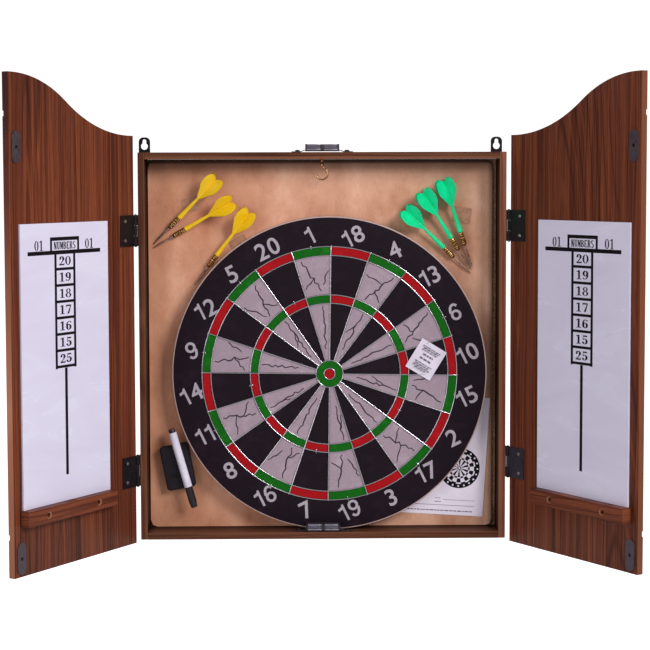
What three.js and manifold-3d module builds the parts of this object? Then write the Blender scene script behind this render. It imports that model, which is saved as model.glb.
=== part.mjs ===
// A wall-hung dart board cabinet with its two doors open.
// Its board, darts, marker, eraser and leaflet lie inside.
// Millimetres. +X is to the right, -Y is towards the player, +Z is up.
// The origin is the centre of the cabinet's rear face, which lies against the wall.
import * as THREE from "three";
import { mergeVertices } from "three/addons/utils/BufferGeometryUtils.js";
import Module from "manifold-3d";

const wasm = await Module();
wasm.setup();

// Driving dimensions of the carcass.
const WIDTH = 485;
const HEIGHT = 514;
const DEPTH = 47;
const BOARD = 9; // thickness of every frame panel and door
const BACK = 3;
const CARD = 3;
const CARD_MARGIN = { left: 1, right: 5, bottom: 0.4, top: 1.5 };
const CARD_CORNER = 9;
const GAP = 0.1; // between pieces that rest on each other
const TURNED_GAP = 0.3; // the same, on a door that is turned away from the axes
const FRONT = -DEPTH;
const INSIDE_X = WIDTH / 2 - BOARD;
const INSIDE_Z = HEIGHT / 2 - BOARD;
const CARD_FACE = -BACK - GAP - CARD - 0.5; // the card bows a little off the back panel

// Doors. u runs along a door from its hinge edge to its free edge.
const OPEN_LEFT = 122;
const OPEN_RIGHT = 123;
const DOOR_WIDTH = 242.6;
const DOOR_BOTTOM = -260.7;
const DOOR_TOP_HINGE_SIDE = 278.8;
const DOOR_TOP_FREE_EDGE = 351.5;
const OGEE_START = 5;
const OGEE_END = 238;
const OGEE_HOLLOW_SHARE = 0.56; // the hollow arc's share of both radii together
const GROOVE_INSET = 46.5;
const GROOVE_WIDTH = 6.5;
const GROOVE_DEPTH = 1.6;

// Hinges: the pin stands outside the frame's side, a little in front of it.
const PIN_OUT = 3.2;
const PIN_AHEAD = 0.6;
const EDGE_FROM_PIN = 2.2;
const FACE_FROM_PIN = 1.4;
const PIN_RADIUS = 1.1;
const PIN_HEAD = 1.9;
const BORE_RADIUS = 1.4;
const KNUCKLE_RADIUS = 2.2;
const KNUCKLE_GAP = 0.3;
const LEAF_WIDTH = 29.5;
const LEAF_HEIGHT = 41;
const LEAF = 1.1;
const HINGE_SCREW_FROM_EDGE = 20;
const HINGE_SCREW_PITCH = 25.6;
const HINGE_SCREW_HOLE = 1.8;
const LEFT_HINGES = { upper: 154.5, lower: -164 };
const RIGHT_HINGES = { upper: 160, lower: -154 };

// What the doors carry.
const SCOREBOARD = { from: 58.5, to: 227.5, bottom: -179.4, top: 169, thick: 2.5 };
const LEDGE = { from: 57, to: 230.5, bottom: -199, top: -179.6, deep: 13.2 };
const LEDGE_SCREWS = [95, 193];
const LEDGE_BORE = { hole: 2.2, sink: 4, sinkDeep: 2.2 };
const STRIKE = { u: 230.5, wide: 15, high: 39, thick: 1.2, hole: 2.4 };
const STRIKE_HEIGHTS = { upper: 262, lower: -238 };

// Hardware on the frame.
const CATCH = {
  wide: 44.8,
  high: 10.4,
  deep: 15,
  earReach: 40.5,
  ear: 1.6,
  screw: 32.6,
  screwHole: 1.7,
};
const MAGNET = { wide: 18.6, high: 7.4, deep: 11, from: 2.2 };
const HANGER = {
  wide: 15.2,
  bottom: 248.6,
  top: 277.6,
  thick: 1.5,
  corner: 6,
  hole: 4.7,
  slot: 2.5,
  screw: 3.8,
  screwRise: 4,
  screwHole: 1.5,
};
const HANGER_X = { left: -237.2, right: 234 };
const HANGER_HOLE_Z = 265.6;
const HANGER_SLOT_TOP = 275;
const HOOK = { behindFront: 23, wire: 1.2, ring: 7.6, z: 228.2, flange: 3.6 };

// The dartboard rests on the bottom panel, turned as it was put in.
const DARTBOARD = { radius: 210, thick: 21, x: 9.2, behindFront: 16.4, turn: 26.2, lift: 0.4 };
const WIRE = { wide: 1.6, high: 1.1 };
const WIRE_RINGS = [170, 158, 105.7, 94.4, 18];
const BULL_RING = 7.4;
const RADIAL_END = 173;
const SECTORS = 20;

// Darts lie on their points and on two wings of the flight.
const DART = { point: 33, barrel: 18, stem: 37, flight: 39, span: 17.8, wing: 0.8 };
const DART_TILT = 6.1;
const TIP_CLEARANCE = 1.7;
const DARTS = {
  yellow_dart_1: { x: -226.8, z: 133.9, heading: 45.4 },
  yellow_dart_2: { x: -227, z: 129.6, heading: 30 },
  yellow_dart_3: { x: -172.2, z: 79.4, heading: 52.5 },
  green_dart_1: { x: 199.2, z: 94, heading: 135.8 },
  green_dart_2: { x: 200.1, z: 99.1, heading: 122.5 },
  green_dart_3: { x: 201.6, z: 102.2, heading: 109 },
};

const ERASER = { x: -195, z: -164, wide: 39, long: 60, felt: 4, block: 9.5, lean: 11 };
const MARKER = { topX: -202.6, topZ: -111.7, lean: 15.9, radius: 5.3, plug: 5, barrel: 76, cap: 29 };
const LEAFLET = { right: 226, top: -74.4, wide: 140, high: 162, thick: 0.3, lean: 3.4 };
const SACHET = { x: 137.8, z: -18.8, wide: 38, high: 44, thick: 2.6, lean: -31.5 };

const YELLOW = 0xebbe28;
const GREEN = 0x14d28c;

const degrees = THREE.MathUtils.degToRad;

// Colours of the materials.
const finish = (color, roughness, metalness = 0) =>
  new THREE.MeshStandardMaterial({ color, roughness, metalness });
const walnut = () => finish(0x6b3d2b, 0.5);
const frameWalnut = () => finish(0x6e4a32, 0.55);
const blackMetal = () => finish(0x1d1a1e, 0.4, 0.7);
const steel = () => finish(0xc9c9cc, 0.3, 1);
const brass = () => finish(0xb8904a, 0.35, 1);
const blackPlastic = () => finish(0x1e1b20, 0.6);

// Closed solids, joined and cut by manifold-3d.
function solid(geometry) {
  const bare = geometry.clone();
  bare.deleteAttribute("normal");
  bare.deleteAttribute("uv");
  const merged = mergeVertices(bare, 1e-4);
  return new wasm.Manifold(
    new wasm.Mesh({
      numProp: 3,
      vertProperties: new Float32Array(merged.attributes.position.array),
      triVerts: new Uint32Array(merged.index.array),
    }),
  );
}

function geometryOf(body) {
  const mesh = body.getMesh();
  const geometry = new THREE.BufferGeometry();
  geometry.setAttribute("position", new THREE.BufferAttribute(mesh.vertProperties, 3));
  geometry.setIndex(new THREE.BufferAttribute(mesh.triVerts, 1));
  const faceted = geometry.toNonIndexed();
  faceted.computeVertexNormals();
  return faceted;
}

const join = (...parts) => geometryOf(parts.map(solid).reduce((a, b) => a.add(b)));
const cut = (whole, ...parts) =>
  geometryOf(parts.map(solid).reduce((a, b) => a.subtract(b), solid(whole)));

function add(group, name, geometry, material) {
  const mesh = new THREE.Mesh(geometry, material);
  mesh.name = name;
  group.add(mesh);
  return mesh;
}

// A box between two corners.
function box(x0, x1, y0, y1, z0, z1) {
  const geometry = new THREE.BoxGeometry(x1 - x0, y1 - y0, z1 - z0);
  return geometry.translate((x0 + x1) / 2, (y0 + y1) / 2, (z0 + z1) / 2);
}

// An upright rod along Z.
function post(radius, z0, z1, x = 0, y = 0, sides = 12) {
  const geometry = new THREE.CylinderGeometry(radius, radius, z1 - z0, sides);
  return geometry.rotateX(Math.PI / 2).translate(x, y, (z0 + z1) / 2);
}

// A rod along Y, as a hole's cutter or a disc.
function drum(radius, y0, y1, x = 0, z = 0, sides = 10) {
  const geometry = new THREE.CylinderGeometry(radius, radius, y1 - y0, sides);
  return geometry.translate(x, (y0 + y1) / 2, z);
}

// An outline in X and Z made into a plate whose back is at y and whose face is nearer the player.
function plate(shape, thick, y = 0, curveSegments = 8) {
  const settings = { depth: thick, bevelEnabled: false, curveSegments };
  const geometry = new THREE.ExtrudeGeometry(shape, settings);
  return geometry.rotateX(Math.PI / 2).translate(0, y, 0);
}

function roundedRectangle(x0, x1, z0, z1, radius) {
  const shape = new THREE.Shape();
  shape.moveTo(x0 + radius, z0);
  shape.lineTo(x1 - radius, z0);
  shape.absarc(x1 - radius, z0 + radius, radius, -Math.PI / 2, 0);
  shape.lineTo(x1, z1 - radius);
  shape.absarc(x1 - radius, z1 - radius, radius, 0, Math.PI / 2);
  shape.lineTo(x0 + radius, z1);
  shape.absarc(x0 + radius, z1 - radius, radius, Math.PI / 2, Math.PI);
  shape.lineTo(x0, z0 + radius);
  shape.absarc(x0 + radius, z0 + radius, radius, Math.PI, Math.PI * 1.5);
  return shape;
}

// Carcass: four panels round a thin back panel, with a card over it.
function addCarcass(group) {
  const x = WIDTH / 2;
  const z = HEIGHT / 2;
  const notchHalf = HANGER.wide / 2 + 0.4;
  const notch = (at) =>
    box(at - notchHalf, at + notchHalf, -HANGER.thick - GAP, 1, HANGER.bottom - 0.3, z + 1);
  const top = box(-INSIDE_X + GAP, INSIDE_X - GAP, FRONT, 0, INSIDE_Z, z);
  const topNotched = cut(top, notch(HANGER_X.left), notch(HANGER_X.right));
  add(group, "top_panel", topNotched, frameWalnut());
  const bottom = box(-INSIDE_X + GAP, INSIDE_X - GAP, FRONT, 0, -z, -INSIDE_Z);
  add(group, "bottom_panel", bottom, frameWalnut());
  const side = (from, to, at) => cut(box(from, to, FRONT, 0, -z, z), notch(at));
  add(group, "left_side_panel", side(-x, -INSIDE_X, HANGER_X.left), frameWalnut());
  add(group, "right_side_panel", side(INSIDE_X, x, HANGER_X.right), frameWalnut());
  const inX = INSIDE_X - GAP;
  const inZ = INSIDE_Z - GAP;
  add(group, "back_panel", box(-inX, inX, -BACK, 0, -inZ, inZ), finish(0x8a6242, 0.7));
  const cardShape = roundedRectangle(
    -inX + CARD_MARGIN.left,
    inX - CARD_MARGIN.right,
    -inZ + CARD_MARGIN.bottom,
    inZ - CARD_MARGIN.top,
    CARD_CORNER,
  );
  add(group, "backing_card", plate(cardShape, CARD, CARD_FACE + CARD, 4), finish(0xb98f72, 0.8));
}

// A keyhole plate stands above each rear corner, with its rear face flush with the frame's.
function hanger(at) {
  const half = HANGER.wide / 2;
  const outline = roundedRectangle(
    at - half,
    at + half,
    HANGER.bottom,
    HANGER.top,
    HANGER.corner,
  );
  const front = -HANGER.thick - 1;
  const through = (radius, x, z) => drum(radius, front, 1, x, z);
  const slotEnd = HANGER_SLOT_TOP - HANGER.slot;
  const slotBox = box(at - HANGER.slot, at + HANGER.slot, front, 1, HANGER_HOLE_Z, slotEnd);
  const keyhole = join(
    through(HANGER.hole, at, HANGER_HOLE_Z),
    slotBox,
    through(HANGER.slot, at, slotEnd),
  );
  const screwZ = HANGER.bottom + HANGER.screwRise;
  return cut(
    plate(outline, HANGER.thick, 0, 6),
    keyhole,
    through(HANGER.screwHole, at - HANGER.screw, screwZ),
    through(HANGER.screwHole, at + HANGER.screw, screwZ),
  );
}

// A double magnetic catch: a housing with two ears, and a magnet block in each half.
function addCatch(group, name, z0) {
  const half = CATCH.wide / 2;
  const y0 = FRONT + GAP;
  const y1 = y0 + CATCH.deep;
  const housing = box(-half, half, y0, y1, z0, z0 + CATCH.high);
  const ears = box(-CATCH.earReach, CATCH.earReach, y0 + 1, y1 - 1, z0, z0 + CATCH.ear);
  const middle = z0 + CATCH.high / 2;
  const play = 0.2;
  const pocket = (x0, grow) => {
    const mouth = y0 - (grow ? 1 : GAP);
    const reach = MAGNET.high / 2 + grow;
    const end = y0 + MAGNET.deep + grow;
    return box(x0 - grow, x0 + MAGNET.wide + grow, mouth, end, middle - reach, middle + reach);
  };
  const slot = (x) => post(CATCH.screwHole, z0 - 1, z0 + CATCH.ear + 1, x, (y0 + y1) / 2);
  const rightMagnet = MAGNET.from;
  const leftMagnet = -MAGNET.from - MAGNET.wide;
  const body = cut(
    join(housing, ears),
    pocket(leftMagnet, play),
    pocket(rightMagnet, play),
    slot(-CATCH.screw),
    slot(CATCH.screw),
  );
  add(group, name + "_housing", body, blackPlastic());
  add(group, name + "_left_magnet", pocket(leftMagnet, 0), finish(0x77747c, 0.45, 0.8));
  add(group, name + "_right_magnet", pocket(rightMagnet, 0), finish(0x77747c, 0.45, 0.8));
}

// A brass cup hook under the top panel: stem, flange, and a ring that is open at its upper left.
function cupHook() {
  const y = FRONT + HOOK.behindFront;
  const top = INSIDE_Z - GAP;
  const stemEnd = HOOK.z + HOOK.ring + 3;
  class HookCurve extends THREE.Curve {
    getPoint(t, target = new THREE.Vector3()) {
      const angle = degrees(72 - t * 240);
      return target.set(HOOK.ring * Math.cos(angle), y, HOOK.z + HOOK.ring * Math.sin(angle));
    }
  }
  const start = new HookCurve().getPoint(0);
  const overlap = 0.6; // the neck runs this far into the ring
  const neckEnd = new THREE.Vector3(start.x + overlap, y, start.z - overlap);
  const neck = new THREE.LineCurve3(new THREE.Vector3(0, y, stemEnd), neckEnd);
  const section = new THREE.Shape().absarc(0, 0, HOOK.wire, 0, Math.PI * 2);
  const sweep = (extrudePath, steps) => {
    const settings = { extrudePath, steps, curveSegments: 6, bevelEnabled: false };
    return new THREE.ExtrudeGeometry(section, settings);
  };
  return join(
    sweep(new HookCurve(), 14),
    sweep(neck, 1),
    post(HOOK.wire + 0.2, stemEnd - 1.4, top - 1, 0, y, 8),
    post(HOOK.flange, top - 1.6, top, 0, y, 12),
  );
}

// Hinge leaves, in the frame of their pin: door leaves lie along +X, frame leaves along +Y.
function knuckles(spans) {
  return spans.map(([from, to]) => post(KNUCKLE_RADIUS, from, to));
}

function leafScrewHoles(alongX, across) {
  const heights = [-HINGE_SCREW_PITCH / 2, HINGE_SCREW_PITCH / 2];
  const hole = HINGE_SCREW_HOLE;
  return heights.map((z) => (alongX ? drum(hole, -4, 4, across, z, 8) : crossDrum(hole, across, z)));
}

function crossDrum(radius, y, z) {
  const geometry = new THREE.CylinderGeometry(radius, radius, 12, 8);
  return geometry.rotateZ(Math.PI / 2).translate(0, y, z);
}

const knuckleThird = LEAF_HEIGHT / 6;

function doorLeaf() {
  const half = LEAF_HEIGHT / 2;
  const inner = -FACE_FROM_PIN + TURNED_GAP;
  const flat = box(KNUCKLE_RADIUS + 0.5, EDGE_FROM_PIN + LEAF_WIDTH, inner, inner + LEAF, -half, half);
  const web = box(0, KNUCKLE_RADIUS + 0.6, inner, inner + LEAF, -knuckleThird, knuckleThird);
  const bore = post(BORE_RADIUS, -half - 1, half + 1);
  return cut(
    join(flat, web, ...knuckles([[-knuckleThird, knuckleThird]])),
    bore,
    ...leafScrewHoles(true, EDGE_FROM_PIN + HINGE_SCREW_FROM_EDGE),
  );
}

function frameLeaf() {
  const half = LEAF_HEIGHT / 2;
  const x1 = PIN_OUT - GAP;
  const x0 = x1 - LEAF;
  const start = KNUCKLE_RADIUS + 0.5;
  const spans = [
    [-half, -knuckleThird - KNUCKLE_GAP],
    [knuckleThird + KNUCKLE_GAP, half],
  ];
  const webs = spans.map(([from, to]) => box(0.4, x1, 0.7, start + 0.4, from, to));
  const flat = box(x0, x1, start, LEAF_WIDTH, -half, half);
  const bore = post(BORE_RADIUS, -half - 1, half + 1);
  return cut(
    join(flat, ...webs, ...knuckles(spans)),
    bore,
    ...leafScrewHoles(false, HINGE_SCREW_FROM_EDGE),
  );
}

function hingePin() {
  const half = LEAF_HEIGHT / 2 + 0.3;
  return join(
    post(PIN_RADIUS, -half - 0.1, half + 0.1, 0, 0, 8),
    post(PIN_HEAD, half, half + 0.9, 0, 0, 8),
    post(PIN_HEAD, -half - 0.9, -half, 0, 0, 8),
  );
}

// The line of a door's top, lowered by drop: a hollow arc and a round arc that meet at one slope.
const ogeeRun = OGEE_END - OGEE_START;
const ogeeRise = DOOR_TOP_FREE_EDGE - DOOR_TOP_HINGE_SIDE;
const ogeeAngle = 2 * Math.atan(ogeeRise / ogeeRun);
const ogeeRadii = ogeeRun / Math.sin(ogeeAngle);
const hollowRadius = ogeeRadii * OGEE_HOLLOW_SHARE;
const roundRadius = ogeeRadii - hollowRadius;

// How far an arc has left its tangent at a distance along that tangent.
const sagitta = (radius, along) => radius - Math.sqrt(radius ** 2 - along ** 2);

function ogeeTop(u, drop) {
  const start = { x: EDGE_FROM_PIN + OGEE_START, z: DOOR_TOP_HINGE_SIDE - drop };
  const end = { x: EDGE_FROM_PIN + OGEE_END, z: DOOR_TOP_FREE_EDGE - drop };
  const x = EDGE_FROM_PIN + u;
  if (x <= start.x) return start.z;
  if (x >= end.x) return end.z;
  const turn = start.x + hollowRadius * Math.sin(ogeeAngle);
  if (x < turn) return start.z + sagitta(hollowRadius, x - start.x);
  return end.z - sagitta(roundRadius, end.x - x);
}

function ogeePoints(from, to, drop, steps) {
  return Array.from({ length: steps + 1 }, (_, i) => {
    const u = from + ((to - from) * i) / steps;
    return new THREE.Vector2(EDGE_FROM_PIN + u, ogeeTop(u, drop));
  });
}

// The door panel, with the routed border line that runs out at its free edge.
function doorPanel() {
  const outline = new THREE.Shape([
    new THREE.Vector2(EDGE_FROM_PIN + DOOR_WIDTH, DOOR_BOTTOM),
    new THREE.Vector2(EDGE_FROM_PIN, DOOR_BOTTOM),
    ...ogeePoints(0, DOOR_WIDTH, 0, 36),
  ]);
  const panel = plate(outline, BOARD, -FACE_FROM_PIN);
  const inner = GROOVE_INSET + GROOVE_WIDTH;
  const past = DOOR_WIDTH + 1;
  const line = new THREE.Shape([
    new THREE.Vector2(EDGE_FROM_PIN + past, DOOR_BOTTOM + GROOVE_INSET),
    new THREE.Vector2(EDGE_FROM_PIN + GROOVE_INSET, DOOR_BOTTOM + GROOVE_INSET),
    ...ogeePoints(GROOVE_INSET, past, GROOVE_INSET, 24),
    ...ogeePoints(inner, past, inner, 24).reverse(),
    new THREE.Vector2(EDGE_FROM_PIN + inner, DOOR_BOTTOM + inner),
    new THREE.Vector2(EDGE_FROM_PIN + past, DOOR_BOTTOM + inner),
  ]);
  const outerFace = -FACE_FROM_PIN - BOARD;
  return cut(panel, plate(line, GROOVE_DEPTH + 1, outerFace + GROOVE_DEPTH));
}

// The dart and pen ledge, with two countersunk screw holes in its front.
function ledge(y0) {
  const y1 = y0 + LEDGE.deep;
  const middle = (LEDGE.bottom + LEDGE.top) / 2;
  const x0 = EDGE_FROM_PIN + LEDGE.from;
  const x1 = EDGE_FROM_PIN + LEDGE.to;
  const strip = box(x0, x1, y0, y1, LEDGE.bottom, LEDGE.top);
  const { hole, sink, sinkDeep } = LEDGE_BORE;
  const holes = LEDGE_SCREWS.map((u) => drum(hole, y0 - 1, y1 + 1, EDGE_FROM_PIN + u, middle));
  const sinks = LEDGE_SCREWS.map((u) =>
    drum(sink, y1 - sinkDeep, y1 + 1, EDGE_FROM_PIN + u, middle, 12),
  );
  return cut(strip, ...holes, ...sinks);
}

function strike(z, y0) {
  const at = EDGE_FROM_PIN + STRIKE.u;
  const halfWide = STRIKE.wide / 2;
  const halfHigh = STRIKE.high / 2;
  const outline = roundedRectangle(
    at - halfWide, at + halfWide, z - halfHigh, z + halfHigh, halfWide - 0.1);
  const hole = drum(STRIKE.hole, y0 - 1, y0 + 3, at, z);
  return cut(plate(outline, STRIKE.thick, y0 + STRIKE.thick, 4), hole);
}

// One door with all that it carries, and the frame's half of its hinges.
// The right door is the left one mirrored.
function addDoor(group, side, openAngle, hinges) {
  const mirror = side === "left" ? 1 : -1;
  const pinGroup = new THREE.Group();
  pinGroup.position.set(-mirror * (WIDTH / 2 + PIN_OUT), FRONT - PIN_AHEAD, 0);
  pinGroup.scale.x = mirror;
  const door = new THREE.Group();
  door.rotation.z = degrees(-openAngle);
  pinGroup.add(door);
  group.add(pinGroup);
  for (const [level, z] of Object.entries(hinges)) {
    const name = side + "_" + level;
    add(pinGroup, name + "_frame_leaf", frameLeaf().translate(0, 0, z), blackMetal());
    add(pinGroup, name + "_hinge_pin", hingePin().translate(0, 0, z), blackMetal());
    add(door, name + "_door_leaf", doorLeaf().translate(0, 0, z), blackMetal());
  }
  const face = -FACE_FROM_PIN + TURNED_GAP;
  const boardFrom = EDGE_FROM_PIN + SCOREBOARD.from;
  const boardTo = EDGE_FROM_PIN + SCOREBOARD.to;
  const boardFace = face + SCOREBOARD.thick;
  const board = box(boardFrom, boardTo, face, boardFace, SCOREBOARD.bottom, SCOREBOARD.top);
  add(door, side + "_door", doorPanel(), walnut());
  add(door, side + "_scoreboard", board, finish(0xdcd6e6, 0.25));
  add(door, side + "_ledge", ledge(face), walnut());
  for (const [level, z] of Object.entries(STRIKE_HEIGHTS))
    add(door, side + "_" + level + "_strike", strike(z, face), blackMetal());
}

// The dartboard: core, the wire spider on its face, and the small ring round the bull.
function ring(radius, segments) {
  const a = radius - WIRE.wide / 2;
  const b = radius + WIRE.wide / 2;
  const profile = [[a, 0], [b, 0], [b, WIRE.high], [a, WIRE.high], [a, 0]];
  const points = profile.map(([x, y]) => new THREE.Vector2(x, y));
  return new THREE.LatheGeometry(points, segments).rotateX(Math.PI);
}

function addDartboard(group) {
  const face = FRONT + DARTBOARD.behindFront;
  const board = new THREE.Group();
  board.position.set(DARTBOARD.x, 0, -INSIDE_Z + DARTBOARD.radius + DARTBOARD.lift);
  board.rotation.y = degrees(-DARTBOARD.turn);
  group.add(board);
  const { radius, thick } = DARTBOARD;
  const profile = [[0, -thick], [radius, -thick], [radius, 0], [0, 0]];
  const points = profile.map(([x, y]) => new THREE.Vector2(x, y));
  const core = new THREE.LatheGeometry(points, 72).rotateX(Math.PI);
  add(board, "dartboard_core", core.translate(0, face, 0), finish(0x1f1b22, 0.85));
  const radials = Array.from({ length: SECTORS }, (_, i) => {
    const wire = box(-WIRE.wide / 2, WIRE.wide / 2, -WIRE.high, 0, WIRE_RINGS[4], RADIAL_END);
    return wire.rotateY(((i + 0.5) * 2 * Math.PI) / SECTORS);
  });
  const rings = WIRE_RINGS.map((at) => ring(at, at > 50 ? 40 : 20));
  add(board, "wire_spider", join(...rings, ...radials).translate(0, face - TURNED_GAP, 0), steel());
  const bullRing = ring(BULL_RING, 20).translate(0, face - TURNED_GAP, 0);
  add(board, "bull_ring", bullRing, steel());
  const halfWide = SACHET.wide / 2;
  const halfHigh = SACHET.high / 2;
  const sachetShape = roundedRectangle(-halfWide, halfWide, -halfHigh, halfHigh, 1.5);
  const sachet = plate(sachetShape, SACHET.thick, 0, 3);
  sachet.rotateY(degrees(-SACHET.lean));
  sachet.translate(SACHET.x, face - TURNED_GAP - WIRE.high - 0.2, SACHET.z);
  add(group, "desiccant_sachet", sachet, finish(0xe8e2e6, 0.7));
}

// A dart along +Z from its point, before it is laid down.
function lathe(profile, sides) {
  const points = profile.map(([x, y]) => new THREE.Vector2(x, y));
  return new THREE.LatheGeometry(points, sides).rotateX(Math.PI / 2);
}

function dartMetal() {
  const end = DART.point + DART.barrel;
  const point = [[0, 0], [0.5, 2.5], [1.15, 7], [1.15, DART.point - 1]];
  const barrel = [[2.6, DART.point - 0.6], [3.5, DART.point + 2.5], [3.5, end], [0, end]];
  return lathe([...point, ...barrel], 8);
}

function dartFlight() {
  const start = DART.point + DART.barrel + 0.1;
  const wings = start + DART.stem;
  const end = wings + DART.flight;
  const socket = [[0, start], [3.1, start], [3.1, start + 6]];
  const spine = [[1.7, wings], [1.5, end - 6], [0, end - 4]];
  const stem = lathe([...socket, ...spine], 8);
  const { span } = DART;
  const outline = new THREE.Shape();
  outline.moveTo(0, wings - 3);
  outline.quadraticCurveTo(4, wings + 2, span * 0.72, wings + 15);
  outline.bezierCurveTo(span * 1.04, wings + 21, span * 1.06, wings + 30, span * 0.8, end - 2.6);
  outline.bezierCurveTo(span * 0.62, end + 0.8, span * 0.3, end, 0, end - 5);
  outline.lineTo(0, wings - 3);
  const settings = { depth: DART.wing, bevelEnabled: false, curveSegments: 3 };
  const wing = new THREE.ExtrudeGeometry(outline, settings);
  wing.rotateX(Math.PI / 2).translate(0, DART.wing / 2, 0);
  const angles = [45, 135, 225, 315];
  return join(stem, ...angles.map((angle) => wing.clone().rotateZ(degrees(angle))));
}

function addDarts(group) {
  for (const [name, { x, z, heading }] of Object.entries(DARTS)) {
    const color = name.startsWith("yellow") ? YELLOW : GREEN;
    const dart = new THREE.Group();
    const lie = new THREE.Matrix4().makeRotationY(degrees(90 - heading));
    const tilt = new THREE.Matrix4().makeRotationX(degrees(DART_TILT));
    const place = new THREE.Matrix4().makeTranslation(x, CARD_FACE - TIP_CLEARANCE, z);
    place.multiply(lie).multiply(tilt).decompose(dart.position, dart.quaternion, dart.scale);
    add(dart, name + "_barrel", dartMetal(), brass());
    add(dart, name + "_flight", dartFlight(), finish(color, 0.4));
    group.add(dart);
  }
}

// The marker lies across the eraser, its cap end down.
function addMarkerAndEraser(group) {
  const eraser = new THREE.Group();
  eraser.position.set(ERASER.x, CARD_FACE - TURNED_GAP, ERASER.z);
  eraser.rotation.y = degrees(-ERASER.lean);
  group.add(eraser);
  const pad = (inset) => {
    const halfWide = ERASER.wide / 2 - inset;
    const halfLong = ERASER.long / 2 - inset;
    return roundedRectangle(-halfWide, halfWide, -halfLong, halfLong, 3);
  };
  add(eraser, "eraser_felt", plate(pad(1), ERASER.felt, 0, 4), finish(0x2a272b, 0.95));
  add(eraser, "eraser_block", plate(pad(0), ERASER.block, -ERASER.felt - GAP, 4), blackPlastic());

  const marker = new THREE.Group();
  const height = ERASER.felt + ERASER.block + MARKER.radius + 2 * TURNED_GAP + GAP;
  marker.position.set(MARKER.topX, CARD_FACE - height, MARKER.topZ);
  marker.rotation.y = degrees(180 - MARKER.lean);
  group.add(marker);
  const r = MARKER.radius;
  const barrelEnd = MARKER.plug + MARKER.barrel;
  const capEnd = barrelEnd + MARKER.cap;
  const plug = [[0, 0], [r - 1.4, 0], [r - 1, 0.8], [r - 1, MARKER.plug], [0, MARKER.plug]];
  const start = MARKER.plug + 0.1;
  const barrel = [
    [0, start], [r - 0.4, start], [r, start + 0.5], [r, barrelEnd],
    [r - 1.6, barrelEnd], [r - 1.6, barrelEnd + 12],
    [1.6, barrelEnd + 14], [1.2, barrelEnd + 19], [0, barrelEnd + 19.5],
  ];
  const lip = barrelEnd + 0.3;
  const cap = [
    [r - 1.3, lip], [r + 0.1, lip], [r - 0.3, capEnd - 6], [r - 1, capEnd], [0, capEnd],
    [0, barrelEnd + 21], [r - 2.6, barrelEnd + 21], [r - 1.3, barrelEnd + 13], [r - 1.3, lip],
  ];
  add(marker, "marker_plug", lathe(plug, 12), blackPlastic());
  add(marker, "marker_barrel", lathe(barrel, 12), finish(0xd9d2e2, 0.35));
  add(marker, "marker_cap", lathe(cap, 12), blackPlastic());
}

function leaflet() {
  const shape = new THREE.Shape([
    new THREE.Vector2(-LEAFLET.wide, -LEAFLET.high),
    new THREE.Vector2(0, -LEAFLET.high),
    new THREE.Vector2(0, 0),
    new THREE.Vector2(-LEAFLET.wide, 0),
  ]);
  const sheet = plate(shape, LEAFLET.thick).rotateY(degrees(LEAFLET.lean));
  return sheet.translate(LEAFLET.right, CARD_FACE - GAP, LEAFLET.top);
}

const cabinet = new THREE.Group();
addCarcass(cabinet);
add(cabinet, "left_hanger", hanger(HANGER_X.left), blackMetal());
add(cabinet, "right_hanger", hanger(HANGER_X.right), blackMetal());
addCatch(cabinet, "top_catch", HEIGHT / 2 + GAP);
addCatch(cabinet, "bottom_catch", -INSIDE_Z + GAP);
add(cabinet, "cup_hook", cupHook(), brass());
addDoor(cabinet, "left", OPEN_LEFT, LEFT_HINGES);
addDoor(cabinet, "right", OPEN_RIGHT, RIGHT_HINGES);
addDartboard(cabinet);
addDarts(cabinet);
addMarkerAndEraser(cabinet);
add(cabinet, "leaflet", leaflet(), finish(0xcfc6c6, 0.85));

export default cabinet;
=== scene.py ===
"""A dart board cabinet with its doors open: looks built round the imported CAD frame.

Lengths are in millimetres in the row frame, +X right, -Y towards the player and +Z up, and MM turns them into metres.
"""

import math
import random

import bmesh
import bpy
from mathutils import Matrix, Vector


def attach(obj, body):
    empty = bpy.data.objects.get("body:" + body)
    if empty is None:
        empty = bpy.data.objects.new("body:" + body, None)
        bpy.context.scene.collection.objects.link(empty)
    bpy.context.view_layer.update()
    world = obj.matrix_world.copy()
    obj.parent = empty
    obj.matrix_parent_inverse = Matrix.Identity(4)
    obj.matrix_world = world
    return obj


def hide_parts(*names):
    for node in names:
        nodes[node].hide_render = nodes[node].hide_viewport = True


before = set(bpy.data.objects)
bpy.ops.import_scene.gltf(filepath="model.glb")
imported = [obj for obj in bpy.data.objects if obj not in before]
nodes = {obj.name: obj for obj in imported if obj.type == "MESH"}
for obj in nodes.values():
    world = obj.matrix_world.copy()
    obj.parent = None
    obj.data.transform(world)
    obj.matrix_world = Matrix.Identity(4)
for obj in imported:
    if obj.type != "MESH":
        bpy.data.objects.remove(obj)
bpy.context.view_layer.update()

MM = 0.001

# The carcass and what is in it, as in the CAD.
WIDTH, HEIGHT, DEPTH, PANEL = 485, 514, 47, 9
FRONT = -DEPTH
INSIDE_X, INSIDE_Z = WIDTH / 2 - PANEL, HEIGHT / 2 - PANEL
CARD_FACE = -6.6
OPEN = {"left": 122, "right": 123}
PIN_X, PIN_Y = WIDTH / 2 + 3.2, FRONT - 0.6
EDGE_FROM_PIN, FACE_FROM_PIN = 2.2, 1.4
ON_DOOR = -FACE_FROM_PIN + 0.3  # what lies on a door's inner face starts here
LEAF = 1.1
HINGES = {"left": (154.5, -164), "right": (160, -154)}
HINGE_SCREWS = (-12.8, 12.8)
BOARD_RADIUS, BOARD_THICK = 210, 21
BOARD_X, BOARD_Z = 9.2, -INSIDE_Z + BOARD_RADIUS + 0.4
BOARD_FACE = FRONT + 16.4
BOARD_TURN = -26.2
RINGS = (170, 158, 105.7, 94.4, 18)
BULL = 7.4
SECTOR = 18


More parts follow.
